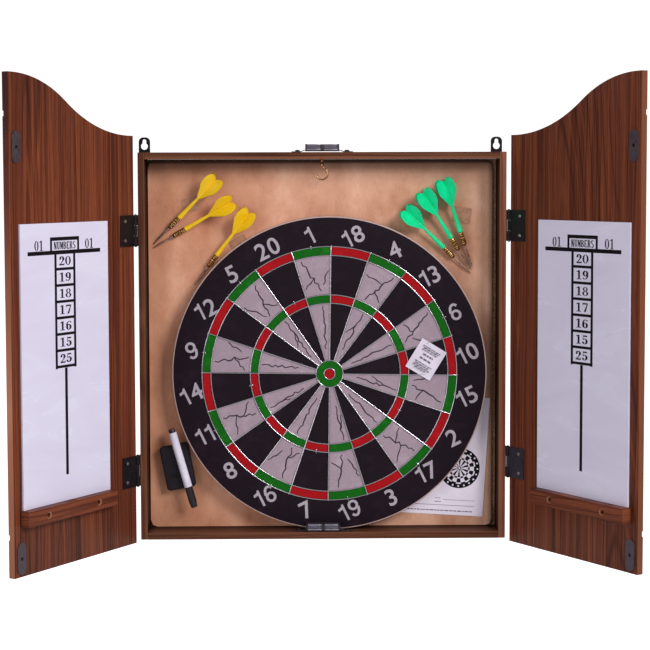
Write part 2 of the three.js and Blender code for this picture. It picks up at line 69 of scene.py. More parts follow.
# ---------------------------------------------------------------- materials

def linear(value):
    """One sRGB channel, 0 to 255, as a linear value."""
    value /= 255
    return value / 12.92 if value <= 0.04045 else ((value + 0.055) / 1.055) ** 2.4


def rgb(red, green, blue):
    """An sRGB colour, 0 to 255, as a linear colour with full opacity."""
    return (linear(red), linear(green), linear(blue), 1)


class Finish:
    """A material with one Principled shader, and short calls that add the nodes it needs."""

    def __init__(self, name, colour, roughness=0.5, metallic=0.0, **sockets):
        self.material = bpy.data.materials.new(name)
        self.material.use_nodes = True
        self.tree = self.material.node_tree
        self.shader = self.tree.nodes["Principled BSDF"]
        self.put(self.shader, "Base Color", colour)
        self.put(self.shader, "Roughness", roughness)
        self.put(self.shader, "Metallic", metallic)
        for socket, value in sockets.items():
            self.put(self.shader, socket.replace("_", " "), value)
        coordinates = self.node("ShaderNodeTexCoord")
        self.place = coordinates.outputs["Object"]
        self.facing = coordinates.outputs["Normal"]
        self.material.diffuse_color = colour

    def node(self, kind, **properties):
        made = self.tree.nodes.new(kind)
        for key, value in properties.items():
            setattr(made, key, value)
        return made

    def put(self, node, socket, value):
        if isinstance(value, bpy.types.NodeSocket):
            self.tree.links.new(value, node.inputs[socket])
        else:
            node.inputs[socket].default_value = value

    def calc(self, operation, a, b=0.0, clamp=False):
        made = self.node("ShaderNodeMath", operation=operation, use_clamp=clamp)
        self.put(made, 0, a)
        self.put(made, 1, b)
        return made.outputs[0]

    def dot(self, vector, direction):
        made = self.node("ShaderNodeVectorMath", operation="DOT_PRODUCT")
        self.put(made, 0, vector)
        self.put(made, 1, tuple(direction))
        return made.outputs["Value"]

    def vector(self, x, y, z):
        made = self.node("ShaderNodeCombineXYZ")
        for socket, value in zip("XYZ", (x, y, z)):
            self.put(made, socket, value)
        return made.outputs[0]

    def stretched(self, x, y, z):
        made = self.node("ShaderNodeMapping")
        self.put(made, "Vector", self.place)
        self.put(made, "Scale", (x, y, z))
        return made.outputs[0]

    def noise(self, vector, scale=1.0, detail=2.0, roughness=0.5, distortion=0.0):
        made = self.node("ShaderNodeTexNoise")
        self.put(made, "Vector", vector)
        self.put(made, "Scale", scale)
        self.put(made, "Detail", detail)
        self.put(made, "Roughness", roughness)
        self.put(made, "Distortion", distortion)
        return made.outputs[0]

    def cells(self, vector, scale, feature="F1", output="Distance"):
        made = self.node("ShaderNodeTexVoronoi", feature=feature)
        self.put(made, "Vector", vector)
        self.put(made, "Scale", scale)
        return made.outputs[output]

    def ramp(self, value, *stops):
        made = self.node("ShaderNodeValToRGB")
        self.put(made, "Fac", value)
        elements = made.color_ramp.elements
        while len(elements) < len(stops):
            elements.new(0.5)
        for element, (position, colour) in zip(elements, stops):
            element.position = position
            element.color = colour if isinstance(colour, tuple) else (colour, colour, colour, 1)
        return made.outputs["Color"]

    def blend(self, factor, a, b, mode="MIX"):
        made = self.node("ShaderNodeMix", data_type="RGBA", blend_type=mode)
        self.put(made, 0, factor)
        self.put(made, 6, a)
        self.put(made, 7, b)
        return made.outputs[2]

    def span(self, value, low, high, out_low=0.0, out_high=1.0):
        made = self.node("ShaderNodeMapRange")
        for socket, number in zip(("Value", "From Min", "From Max", "To Min", "To Max"),
                                  (value, low, high, out_low, out_high)):
            self.put(made, socket, number)
        return made.outputs[0]

    def colour(self, value):
        self.put(self.shader, "Base Color", value)

    def roughness(self, value):
        self.put(self.shader, "Roughness", value)

    def bump(self, height, distance, strength=1.0):
        made = self.node("ShaderNodeBump")
        self.put(made, "Height", height)
        self.put(made, "Distance", distance * MM)
        self.put(made, "Strength", strength)
        self.put(self.shader, "Normal", made.outputs[0])


WALNUT = {
    "dark": rgb(55, 22, 14), "low": rgb(84, 40, 27), "mid": rgb(104, 52, 35),
    "high": rgb(119, 62, 41), "bright": rgb(156, 82, 44),
}
# A lighter copy of WALNUT for the left door: painted light.
LIT_DOOR_WALNUT = {
    "dark": rgb(60, 24, 15), "low": rgb(92, 44, 30), "mid": rgb(114, 57, 38),
    "high": rgb(130, 68, 45), "bright": rgb(168, 89, 48),
}
FRAME_WALNUT = {
    "dark": rgb(58, 28, 17), "low": rgb(75, 40, 26), "mid": rgb(89, 51, 35),
    "high": rgb(100, 60, 42), "bright": rgb(123, 78, 55),
}
# The side panels take lighter copies of the frame walnut, the right one the lightest: painted light.
LEFT_PANEL_LIT_WALNUT = {
    "dark": rgb(64, 32, 19), "low": rgb(84, 46, 30), "mid": rgb(99, 58, 40),
    "high": rgb(112, 69, 48), "bright": rgb(137, 88, 62),
}
RIGHT_PANEL_LIT_WALNUT = {
    "dark": rgb(88, 45, 29), "low": rgb(112, 63, 43), "mid": rgb(132, 79, 56),
    "high": rgb(145, 90, 65), "bright": rgb(166, 109, 80),
}
# The left door's edge is painted lighter low down and darker high up: painted light and shade. The right door's edge
# and the frame's are one even colour.
LEFT_EDGE_SHADING, RIGHT_EDGE = (rgb(200, 132, 102), rgb(76, 41, 35)), (rgb(114, 70, 49), rgb(114, 70, 49))
FRAME_EDGE = (rgb(122, 76, 56), rgb(122, 76, 56))
DOOR_LOW, DOOR_HIGH = -260, 350
# Painted shade on the left door: the foil is darkened towards its bottom and its top.
LEFT_DOOR_SHADING = ((0.0, 0.68), (0.16, 0.82), (0.32, 1.0), (0.72, 0.98), (1.0, 0.7))
SHADED_WALNUT = rgb(20, 8, 5)
WOOD_GLOSS = 0.12


def wood(name, palette, along, across, seed, edge=FRAME_EDGE, face=None, face_range=None, pale=None, inner=None,
         tone=None):
    """Foil with a printed walnut figure.

    face is the normal of a panel's two faces; its other sides show the edge band, which goes from
    the first colour of edge low down to the second high up; where the two differ, as on the left door,
    that change is painted light and shade. inner is the normal of the side that faces into the recess,
    with how strongly painted shade darkens that side at the front and at the back. tone is painted
    light and shade along the foil's length: how bright it is drawn at stops along its length, from 0 to 1.
    """
    f = Finish(name, palette["mid"], 0.42, **{"Specular_IOR_Level": WOOD_GLOSS})
    run = f.dot(f.place, along)
    side = f.dot(f.place, across)
    # The edge colour runs from low to high; where its two colours differ, this is painted light and shade.
    edge_tone = f.blend(f.span(run, -0.05, 0.2), *edge)

    def at(side_scale, run_scale, step=0.0, line=side):
        return f.vector(f.calc("MULTIPLY", line, side_scale), seed + step, f.calc("MULTIPLY", run, run_scale))

    sway = f.noise(at(16, 4.5, 27.0), 1, 2, 0.5)
    bent = f.calc("ADD", side, f.calc("MULTIPLY", f.calc("SUBTRACT", sway, 0.5), 0.012))
    bands = f.noise(at(34, 0.8, line=bent), 1, 2, 0.5)
    streaks = f.noise(at(150, 1.5, 3.1, bent), 1, 3, 0.6)
    threads = f.noise(at(430, 3.2, 5.7, bent), 1, 2, 0.6)
    mixed = f.calc("ADD", f.calc("MULTIPLY", bands, 0.26), f.calc("MULTIPLY", streaks, 0.36))
    mixed = f.calc("ADD", mixed, f.calc("MULTIPLY", threads, 0.38))
    colour = f.ramp(mixed, (0.33, palette["dark"]), (0.44, palette["low"]), (0.505, palette["mid"]),
                    (0.58, palette["high"]), (0.72, palette["bright"]))
    figure = f.noise(at(9, 0.55, 9.3), 1, 1.2, 0.4)
    contour = f.calc("FRACT", f.calc("MULTIPLY", figure, 26))
    ridge = f.calc("ABSOLUTE", f.calc("SUBTRACT", contour, 0.5))
    where = f.span(f.noise(at(10, 1.3, 13.0), 1, 1), 0.45, 0.56)
    dark_line = f.calc("MULTIPLY", f.span(ridge, 0.38, 0.48, 0, 0.62), where)
    colour = f.blend(dark_line, colour, palette["dark"])
    light_line = f.calc("MULTIPLY", f.span(ridge, 0.10, 0.02, 0, 0.28), where)
    colour = f.blend(light_line, colour, palette["bright"])
    gleam = f.noise(at(120, 0.9, 17.0, bent), 1, 1)
    gleam_line = f.span(f.calc("ABSOLUTE", f.calc("SUBTRACT", gleam, 0.58)), 0.022, 0.0, 0, 0.5)
    colour = f.blend(gleam_line, colour, palette["bright"])
    pores = f.span(f.noise(at(1500, 45, 21.0), 1, 1), 0.60, 0.70)
    colour = f.blend(f.calc("MULTIPLY", pores, 0.45), colour, palette["dark"])
    if face is not None:
        flat = f.calc("ABSOLUTE", f.dot(f.facing, face))
        band = f.blend(f.span(threads, 0.35, 0.65, 0, 0.35), edge_tone, palette["high"])
        colour = f.blend(f.span(flat, 0.75, 0.6, 0, 0.85), colour, band)
    if face_range is not None:
        depth = f.dot(f.place, face)
        low, high = face_range
        inside = f.calc("MULTIPLY", f.calc("GREATER_THAN", depth, low), f.calc("LESS_THAN", depth, high))
        routed = f.calc("MULTIPLY", inside, f.span(f.calc("ABSOLUTE", f.dot(f.facing, face)), 0.6, 0.75))
        colour = f.blend(f.calc("MULTIPLY", routed, 0.8), colour, palette["dark"])
    if pale is not None:
        direction, start, end, share = pale
        colour = f.blend(f.span(f.dot(f.place, direction), start * MM, end * MM, 0, share), colour, edge_tone)
    # Painted light and shade along the length: the colour is multiplied by the tone ramp.
    if tone is not None:
        length = f.span(run, DOOR_LOW * MM, DOOR_HIGH * MM)
        colour = f.blend(1.0, colour, f.ramp(length, *tone), "MULTIPLY")
    # Painted shade: the side that faces into the recess is darkened towards SHADED_WALNUT, more at the back than at
    # the front, and loses its gloss with the shade.
    if inner is not None:
        normal, near, far = inner
        depth = f.span(f.dot(f.place, (0, 1, 0)), FRONT * MM, (FRONT + 30) * MM, near, far)
        shaded = f.calc("MULTIPLY", f.span(f.dot(f.facing, normal), 0.5, 0.7), depth)
        colour = f.blend(shaded, colour, SHADED_WALNUT)
        f.put(f.shader, "Specular IOR Level", f.span(shaded, 0, 1, WOOD_GLOSS, 0))
    f.colour(colour)
    f.roughness(f.span(f.calc("ADD", streaks, pores), 0.3, 1.2, 0.36, 0.58))
    f.bump(f.calc("SUBTRACT", f.calc("MULTIPLY", threads, 0.5), pores), 0.05, 0.5)
    return f.material


CARD_SHADE_TOP, CARD_SHADE_RIM, CARD_SHADE_RIGHT = (0.227, 0.2425), (0.2415, 0.244), (0.2215, 0.2285)


def card_finish():
    """Brown card: clouded, flecked, and darker beside the frame, where the recess shades it, and towards its left
    side; all this darkening is painted shade.
    """
    f = Finish("card_brown", rgb(194, 148, 123), 0.62, **{"Specular_IOR_Level": 0.15})
    cloud = f.noise(f.stretched(14, 9, 9), 1, 5, 0.62)
    fleck = f.noise(f.stretched(700, 700, 260), 1, 3, 0.6)
    colour = f.ramp(cloud, (0.32, rgb(188, 130, 102)), (0.46, rgb(209, 156, 128)), (0.56, rgb(220, 168, 141)),
                    (0.70, rgb(236, 190, 165)))
    colour = f.blend(f.span(fleck, 0.58, 0.74, 0, 0.35), colour, rgb(140, 98, 76))
    colour = f.blend(f.span(fleck, 0.40, 0.28, 0, 0.25), colour, rgb(214, 184, 166))
    from_left, height = f.dot(f.place, (1, 0, 0)), f.dot(f.place, (0, 0, 1))
    # Painted shade: the card is darkened towards its left side.
    colour = f.blend(f.span(from_left, -0.23, 0.06, 0.9, 0), colour, (0.9, 0.74, 0.64, 1), "MULTIPLY")
    colour = f.blend(f.span(height, *CARD_SHADE_TOP, 0, 0.6), colour, rgb(64, 28, 16))
    colour = f.blend(f.span(height, *CARD_SHADE_RIM, 0, 0.8), colour, rgb(26, 8, 4))
    colour = f.blend(f.span(from_left, *CARD_SHADE_RIGHT, 0, 0.75), colour, rgb(60, 32, 22))
    f.colour(colour)
    f.roughness(f.span(cloud, 0.3, 0.7, 0.5, 0.68))
    f.bump(f.calc("ADD", fleck, f.calc("MULTIPLY", cloud, 6)), 0.25, 0.35)
    return f.material


def fibreboard_finish():
    """Pressed brown fibre: the back panel."""
    f = Finish("fibreboard", rgb(128, 92, 64), 0.75)
    fibre = f.noise(f.stretched(420, 420, 420), 1, 5, 0.65, 0.6)
    f.colour(f.ramp(fibre, (0.32, rgb(92, 62, 42)), (0.5, rgb(130, 94, 66)), (0.68, rgb(166, 128, 96))))
    f.bump(fibre, 0.2, 0.6)
    return f.material


def metal_finish(name, colour, shade, roughness, metallic=1.0, scale=220, bump=0.04, **sockets):
    """Metal with fine scratches, duller patches and a little relief."""
    f = Finish(name, colour, roughness, metallic, **sockets)
    patch = f.noise(f.stretched(scale, scale, scale), 1, 3, 0.6)
    scratch = f.noise(f.stretched(3800, 900, 900), 1, 2, 0.5)
    f.colour(f.blend(f.span(patch, 0.35, 0.7), colour, shade))
    f.roughness(f.span(f.calc("ADD", patch, f.calc("MULTIPLY", scratch, 0.5)), 0.45, 1.0,
                       roughness * 0.8, min(1.0, roughness * 1.45)))
    f.bump(f.calc("ADD", patch, f.calc("MULTIPLY", scratch, 0.35)), bump, 0.5)
    return f.material


def plastic_finish(name, colour, shade, roughness=0.4, scale=900, bump=0.03, **sockets):
    """Moulded plastic: even colour with a fine texture and faint handling marks."""
    f = Finish(name, colour, roughness, **sockets)
    grain = f.noise(f.stretched(scale, scale, scale), 1, 2, 0.5)
    marks = f.noise(f.stretched(60, 60, 60), 1, 4, 0.6)
    f.colour(f.blend(f.span(marks, 0.4, 0.75), colour, shade))
    f.roughness(f.span(marks, 0.3, 0.7, roughness * 0.85, min(1.0, roughness * 1.25)))
    f.bump(grain, bump, 0.4)
    return f.material


def paper_finish(name, colour, shade, roughness=0.7):
    """Plain paper with a faint fibre in its colour and surface."""
    f = Finish(name, colour, roughness)
    pulp = f.noise(f.stretched(900, 900, 900), 1, 4, 0.6)
    cloud = f.noise(f.stretched(40, 40, 40), 1, 2, 0.5)
    f.colour(f.blend(f.span(f.calc("ADD", pulp, cloud), 0.75, 1.3), colour, shade))
    f.bump(pulp, 0.06, 0.5)
    return f.material


def fibre_finish(name, colour, shade, light, roughness=0.85):
    """The board's pressed paper face, printed: short radial fibres seen end on."""
    f = Finish(name, colour, roughness, **{"Specular_IOR_Level": 0.14})
    ends = f.cells(f.stretched(1100, 1100, 1100), 1)
    cloud = f.noise(f.stretched(55, 55, 55), 1, 4, 0.6)
    tone = f.blend(f.span(ends, 0.2, 0.75), colour, shade)
    tone = f.blend(f.span(cloud, 0.52, 0.74, 0, 0.5), tone, light)
    f.colour(tone)
    f.roughness(f.span(cloud, 0.3, 0.7, roughness * 0.75, roughness))
    f.bump(f.calc("ADD", ends, f.calc("MULTIPLY", cloud, 0.6)), 0.12, 0.45)
    return f.material


def whiteboard_finish():
    """A glossy dry-wipe surface with faint smears and specks."""
    f = Finish("whiteboard_gloss", rgb(214, 208, 230), 0.16)
    smear = f.noise(f.stretched(7, 7, 22), 1, 4, 0.55, 0.8)
    speck = f.noise(f.stretched(420, 420, 420), 1, 2)
    colour = f.ramp(smear, (0.3, rgb(222, 215, 236)), (0.5, rgb(226, 220, 240)), (0.72, rgb(230, 225, 244)))
    f.colour(f.blend(f.span(speck, 0.72, 0.8, 0, 0.3), colour, rgb(150, 140, 165)))
    f.roughness(f.span(smear, 0.3, 0.75, 0.14, 0.34))
    f.bump(f.noise(f.stretched(90, 90, 90), 1, 2), 0.03, 0.3)
    return f.material


def felt_finish():
    """Dark felt with a short, uneven nap."""
    f = Finish("eraser_felt_black", rgb(34, 31, 36), 0.95, **{"Sheen_Weight": 0.4, "Sheen_Roughness": 0.5})
    hair = f.noise(f.stretched(1600, 1600, 1600), 1, 4, 0.7, 1.5)
    f.colour(f.ramp(hair, (0.35, rgb(20, 18, 22)), (0.7, rgb(58, 54, 62))))
    f.bump(hair, 0.4, 0.9)
    return f.material


def tape_finish():
    """Brown packing tape with a light shine."""
    f = Finish("tape_brown", rgb(178, 128, 100), 0.3, **{"Coat_Weight": 0.3, "Coat_Roughness": 0.2})
    cloud = f.noise(f.stretched(160, 160, 160), 1, 3, 0.6)
    f.colour(f.ramp(cloud, (0.35, rgb(170, 118, 90)), (0.65, rgb(188, 140, 112))))
    f.bump(f.noise(f.stretched(240, 240, 240), 1, 2), 0.08, 0.5)
    return f.material


def brass_thread_finish():
    """Turned brass: bright lands, with tarnish in patches."""
    f = Finish("dart_brass_turned", rgb(196, 146, 74), 0.28, 0.9)
    patch = f.noise(f.stretched(420, 420, 420), 1, 3, 0.6)
    f.colour(f.ramp(patch, (0.36, rgb(132, 84, 38)), (0.48, rgb(200, 150, 78)), (0.64, rgb(240, 206, 144))))
    f.roughness(f.span(patch, 0.3, 0.7, 0.2, 0.42))
    f.bump(patch, 0.05, 0.5)
    return f.material


STEEL = metal_finish("board_wire_steel", rgb(222, 220, 224), rgb(190, 186, 194), 0.2, scale=120, bump=0.006)
POINT_STEEL = metal_finish("dart_point_steel", rgb(196, 170, 154), rgb(120, 96, 82), 0.34, scale=300)
SCREW_STEEL = metal_finish("screw_nickel", rgb(206, 200, 196), rgb(140, 132, 130), 0.28, scale=500)
MAGNET_STEEL = metal_finish("magnet_plate_steel", rgb(196, 190, 206), rgb(150, 144, 160), 0.35, scale=400)
FERRITE = metal_finish("magnet_ferrite", rgb(104, 98, 110), rgb(78, 72, 84), 0.6, metallic=0.3, scale=500)
BLACK_METAL = metal_finish("black_lacquered_steel", rgb(26, 21, 27), rgb(42, 36, 44), 0.34, metallic=0.55)
# The right lower door leaf: black steel painted lighter and bluer, a painted sheen.
SHEEN_LEAF_STEEL = metal_finish("black_steel_painted_sheen", rgb(60, 56, 70), rgb(44, 38, 48), 0.4, metallic=0.4)
STRIKE_STEEL = metal_finish("strike_bronzed_steel", rgb(70, 58, 66), rgb(84, 72, 80), 0.42, metallic=0.35)
DARK_SCREW = metal_finish("black_screw", rgb(30, 26, 30), rgb(60, 54, 58), 0.36, metallic=0.8, scale=600)
HOOK_BRASS = metal_finish("hook_brass", rgb(214, 172, 124), rgb(150, 104, 62), 0.24, scale=500)
BLACK_PLASTIC = plastic_finish("black_plastic", rgb(27, 23, 29), rgb(42, 38, 46), 0.38)
ERASER_PLASTIC = plastic_finish("eraser_black", rgb(25, 16, 26), rgb(36, 26, 37), 0.5, **{"Specular_IOR_Level": 0.25})
CATCH_PLASTIC = plastic_finish("catch_brown_plastic", rgb(38, 27, 34), rgb(56, 44, 52), 0.42)
YELLOW = plastic_finish("dart_yellow", rgb(238, 188, 14), rgb(250, 206, 48), 0.34,
                        **{"Subsurface_Weight": 0.12, "Coat_Weight": 0.1, "Specular_IOR_Level": 0.3})
GREEN = plastic_finish("dart_green", rgb(0, 214, 138), rgb(6, 232, 162), 0.34,
                       **{"Subsurface_Weight": 0.12, "Coat_Weight": 0.1, "Specular_IOR_Level": 0.3})
MARKER_WHITE = plastic_finish("marker_white", rgb(214, 206, 222), rgb(232, 226, 238), 0.3)
PRINT_BLACK = plastic_finish("print_black", rgb(12, 8, 16), rgb(20, 15, 25), 0.7, **{"Specular_IOR_Level": 0.15})
CRACK_PRINT = plastic_finish("crack_print", rgb(44, 30, 42), rgb(58, 44, 56), 0.8)
PRINT_GREY = plastic_finish("print_grey", rgb(96, 88, 104), rgb(120, 112, 128), 0.6)
PAPER = paper_finish("leaflet_paper", rgb(248, 238, 252), rgb(238, 226, 242))
SACHET_PAPER = paper_finish("sachet_paper", rgb(226, 216, 230), rgb(204, 192, 208), 0.6)
CARD = card_finish()
FIBREBOARD = fibreboard_finish()
WHITEBOARD = whiteboard_finish()
FELT = felt_finish()
TAPE = tape_finish()
DART_BRASS = brass_thread_finish()
# The groove walls take a darker brass.
DART_GROOVE = metal_finish("dart_brass_grooves", rgb(128, 82, 38), rgb(92, 54, 24), 0.45, metallic=0.8, scale=500)
FACE_BLACK = fibre_finish("board_black", rgb(29, 14, 27), rgb(21, 9, 19), rgb(45, 28, 43), 0.8)
FACE_LIGHT = fibre_finish("board_light", rgb(167, 147, 159), rgb(148, 128, 139), rgb(182, 163, 174), 0.85)
FACE_RED = fibre_finish("board_red", rgb(174, 8, 18), rgb(140, 4, 12), rgb(190, 26, 32), 0.8)
FACE_GREEN = fibre_finish("board_green", rgb(10, 106, 10), rgb(6, 78, 8), rgb(40, 130, 36), 0.8)
FIGURE = fibre_finish("board_figures", rgb(172, 162, 172), rgb(156, 146, 156), rgb(188, 180, 188), 0.8)
BAND = fibre_finish("board_side_band", rgb(196, 168, 162), rgb(176, 146, 140), rgb(212, 188, 182), 0.7)


# ---------------------------------------------------------------- shapes

def box(x0, x1, y0, y1, z0, z1, bevel=0.0, segments=2):
    """A box between two corners, with its edges bevelled."""
    made = bmesh.new()
    bmesh.ops.create_cube(made, size=1)
    centre = Vector(((x0 + x1) / 2, (y0 + y1) / 2, (z0 + z1) / 2))
    made.transform(Matrix.Translation(centre) @ Matrix.Diagonal((x1 - x0, y1 - y0, z1 - z0, 1)))
    if bevel:
        bmesh.ops.bevel(made, geom=made.edges[:], offset=bevel, segments=segments, profile=0.5, affect="EDGES")
    return made


def slab(outline, y0, y1, bevel=0.0):
    """A plate with this outline in X and Z, between two depths, its long edges rounded."""
    made = bmesh.new()
    near = [made.verts.new((x, y0, z)) for x, z in outline]
    face = made.faces.new(near)
    far = bmesh.ops.extrude_face_region(made, geom=[face])["geom"]
    bmesh.ops.translate(made, vec=(0, y1 - y0, 0), verts=[v for v in far if isinstance(v, bmesh.types.BMVert)])
    bmesh.ops.recalc_face_normals(made, faces=made.faces[:])
    if bevel:
        rims = [e for e in made.edges if abs(e.verts[0].co.y - e.verts[1].co.y) < 1e-6]
        bmesh.ops.bevel(made, geom=rims, offset=bevel, segments=2, profile=0.5, affect="EDGES")
    return made


def ribbon(centre_line, widths, y0, y1):
    """A flat strip along a line in X and Z, such as a printed stroke."""
    points = [Vector((x, z)) for x, z in centre_line]
    left, right = [], []
    for i, point in enumerate(points):
        before, after = points[max(i - 1, 0)], points[min(i + 1, len(points) - 1)]
        along = (after - before).normalized()
        across = Vector((-along.y, along.x)) * widths[i] / 2
        left.append(tuple(point + across))
        right.append(tuple(point - across))
    return strip(left, right, y0, y1)


def strip(left, right, y0, y1, closed=False):
    """A thin solid between two lines of points in X and Z."""
    made = bmesh.new()
    rows = []
    for (lx, lz), (rx, rz) in zip(left, right):
        rows.append([made.verts.new(p) for p in ((lx, y0, lz), (rx, y0, rz), (rx, y1, rz), (lx, y1, lz))])
    pairs = list(zip(rows, rows[1:])) + ([(rows[-1], rows[0])] if closed else [])
    for a, b in pairs:
        for i in range(4):
            made.faces.new((a[i], a[(i + 1) % 4], b[(i + 1) % 4], b[i]))
    if not closed:
        made.faces.new(rows[0])
        made.faces.new(list(reversed(rows[-1])))
    bmesh.ops.recalc_face_normals(made, faces=made.faces[:])
    return made


def lathe(profile, steps=32):
    """A closed profile of (radius, height) turned about Z."""
    made = bmesh.new()
    columns = []
    for i in range(steps):
        turn = 2 * math.pi * i / steps
        column = []
        for radius, height in profile:
            if radius < 1e-6:
                column.append(None)
            else:
                column.append(made.verts.new((radius * math.cos(turn), radius * math.sin(turn), height)))
        columns.append(column)
    poles = {j: made.verts.new((0, 0, height)) for j, (radius, height) in enumerate(profile) if radius < 1e-6}
    for i in range(steps):
        a, b = columns[i], columns[(i + 1) % steps]
        for j in range(len(profile) - 1):
            corners = [a[j] or poles.get(j), b[j] or poles.get(j),
                       b[j + 1] or poles.get(j + 1), a[j + 1] or poles.get(j + 1)]
            unique = []
            for corner in corners:
                if corner not in unique:
                    unique.append(corner)
            if len(unique) > 2:
                made.faces.new(unique)
    bmesh.ops.recalc_face_normals(made, faces=made.faces[:])
    return made


def tube(points, radii, sides=12, closed=False):
    """A round wire along points, with its own radius at each point."""
    made = bmesh.new()
    points = [Vector(p) for p in points]
    count = len(points)
    if isinstance(radii, (int, float)):
        radii = [radii] * count
    rows = []
    normal = None
    for i, point in enumerate(points):
        before = points[i - 1] if closed or i else point
        after = points[(i + 1) % count] if closed or i < count - 1 else point
        along = (after - before).normalized()
        if normal is None:
            normal = along.orthogonal().normalized()
        normal = (normal - along * normal.dot(along)).normalized()
        other = along.cross(normal)
        rows.append([
            made.verts.new(point + radii[i] * (math.cos(t) * normal + math.sin(t) * other))
            for t in (2 * math.pi * k / sides for k in range(sides))
        ])
    pairs = list(zip(rows, rows[1:])) + ([(rows[-1], rows[0])] if closed else [])
    for a, b in pairs:
        for k in range(sides):
            made.faces.new((a[k], a[(k + 1) % sides], b[(k + 1) % sides], b[k]))
    if not closed:
        made.faces.new(rows[0])
        made.faces.new(list(reversed(rows[-1])))
    bmesh.ops.recalc_face_normals(made, faces=made.faces[:])
    return made


def circle(radius, count, start=0.0):
    """Points around a circle in X and Z."""
    return [(radius * math.sin(start + 2 * math.pi * i / count), radius * math.cos(start + 2 * math.pi * i / count))
            for i in range(count)]


def rounded_rectangle(x0, x1, z0, z1, radius, steps=6):
    """Points around a rectangle with round corners, in X and Z."""
    corners = ((x1 - radius, z0 + radius, -90), (x1 - radius, z1 - radius, 0),
               (x0 + radius, z1 - radius, 90), (x0 + radius, z0 + radius, 180))
    outline = []
    for x, z, start in corners:
        for i in range(steps + 1):
            turn = math.radians(start + 90 * i / steps)
            outline.append((x + radius * math.cos(turn), z + radius * math.sin(turn)))
    return outline


def gather(parts):
    """Several shapes in one."""
    whole = bmesh.new()
    for part in parts:
        mesh = bpy.data.meshes.new("part")
        part.to_mesh(mesh)
        part.free()
        whole.from_mesh(mesh)
        bpy.data.meshes.remove(mesh)
    return whole


def moved(shape, matrix):
    """The same shape, moved by a matrix."""
    shape.transform(matrix)
    if matrix.determinant() < 0:
        bmesh.ops.reverse_faces(shape, faces=shape.faces[:])
    return shape


def turn(axis, degrees):
    """A turn about one axis, in degrees."""
    return Matrix.Rotation(math.radians(degrees), 4, axis)


def shift(x, y, z):
    """A move by X, Y and Z."""
    return Matrix.Translation((x, y, z))


def piece(name, shape, body, finish, stands_for=(), smooth=35):
    """Makes the shape, in millimetres in the row frame, a piece that rides on a body."""
    finishes = finish if isinstance(finish, (list, tuple)) else [finish]
    shape.transform(Matrix.Scale(MM, 4))
    mesh = bpy.data.meshes.new(name)
    shape.to_mesh(mesh)
    shape.free()
    for material in finishes:
        mesh.materials.append(material)
    if smooth:
        mesh.polygons.foreach_set("use_smooth", [True] * len(mesh.polygons))
        mesh.set_sharp_from_angle(angle=math.radians(smooth))
    made = bpy.data.objects.new(name, mesh)
    bpy.context.scene.collection.objects.link(made)
    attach(made, body)
    if stands_for:
        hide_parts(*stands_for)
    return made


def dress(name, finish, bevel=0.35):
    """Gives a CAD node its finish and rounds its edges."""
    node = nodes[name]
    node.data.materials.clear()
    node.data.materials.append(finish)
    if bevel:
        weld = node.modifiers.new("weld", "WELD")
        weld.merge_threshold = 0.00002
        rounding = node.modifiers.new("bevel", "BEVEL")
        rounding.width = bevel * MM
        rounding.segments = 2
        rounding.limit_method = "ANGLE"
        rounding.angle_limit = math.radians(32)
        rounding.harden_normals = False
    return node


def pin_matrix(side):
    """The place of one side's hinge pin."""
    mirror = -1 if side == "right" else 1
    return shift(-mirror * PIN_X, PIN_Y, 0) @ Matrix.Diagonal((mirror, 1, 1, 1))


def door_matrix(side):
    """From a closed left door's own frame, X from the pin to the free edge, to where that door stands."""
    return pin_matrix(side) @ turn("Z", -OPEN[side])


BOARD = shift(BOARD_X, 0, BOARD_Z) @ turn("Y", BOARD_TURN)


# ---------------------------------------------------------------- camera, light and floor

CAMERA_LENS, CAMERA_SHIFT = 97.11, -0.0513
CAMERA_PLACE = (-0.0295, -2.356, 0.2324)
CAMERA_PAN, CAMERA_TILT, CAMERA_ROLL = -0.809, -3.943, -0.1435
WORLD_SEEN, WORLD_LIGHT, WORLD_GLOSS_LOSS = 1.1, 0.48, 0.32
KEY_POWER, FILL_POWER = 74, 24
FLOOR_HEIGHT, FLOOR_HALF = -0.95, 14
FLOOR_FADE = (0.2, 1.6)


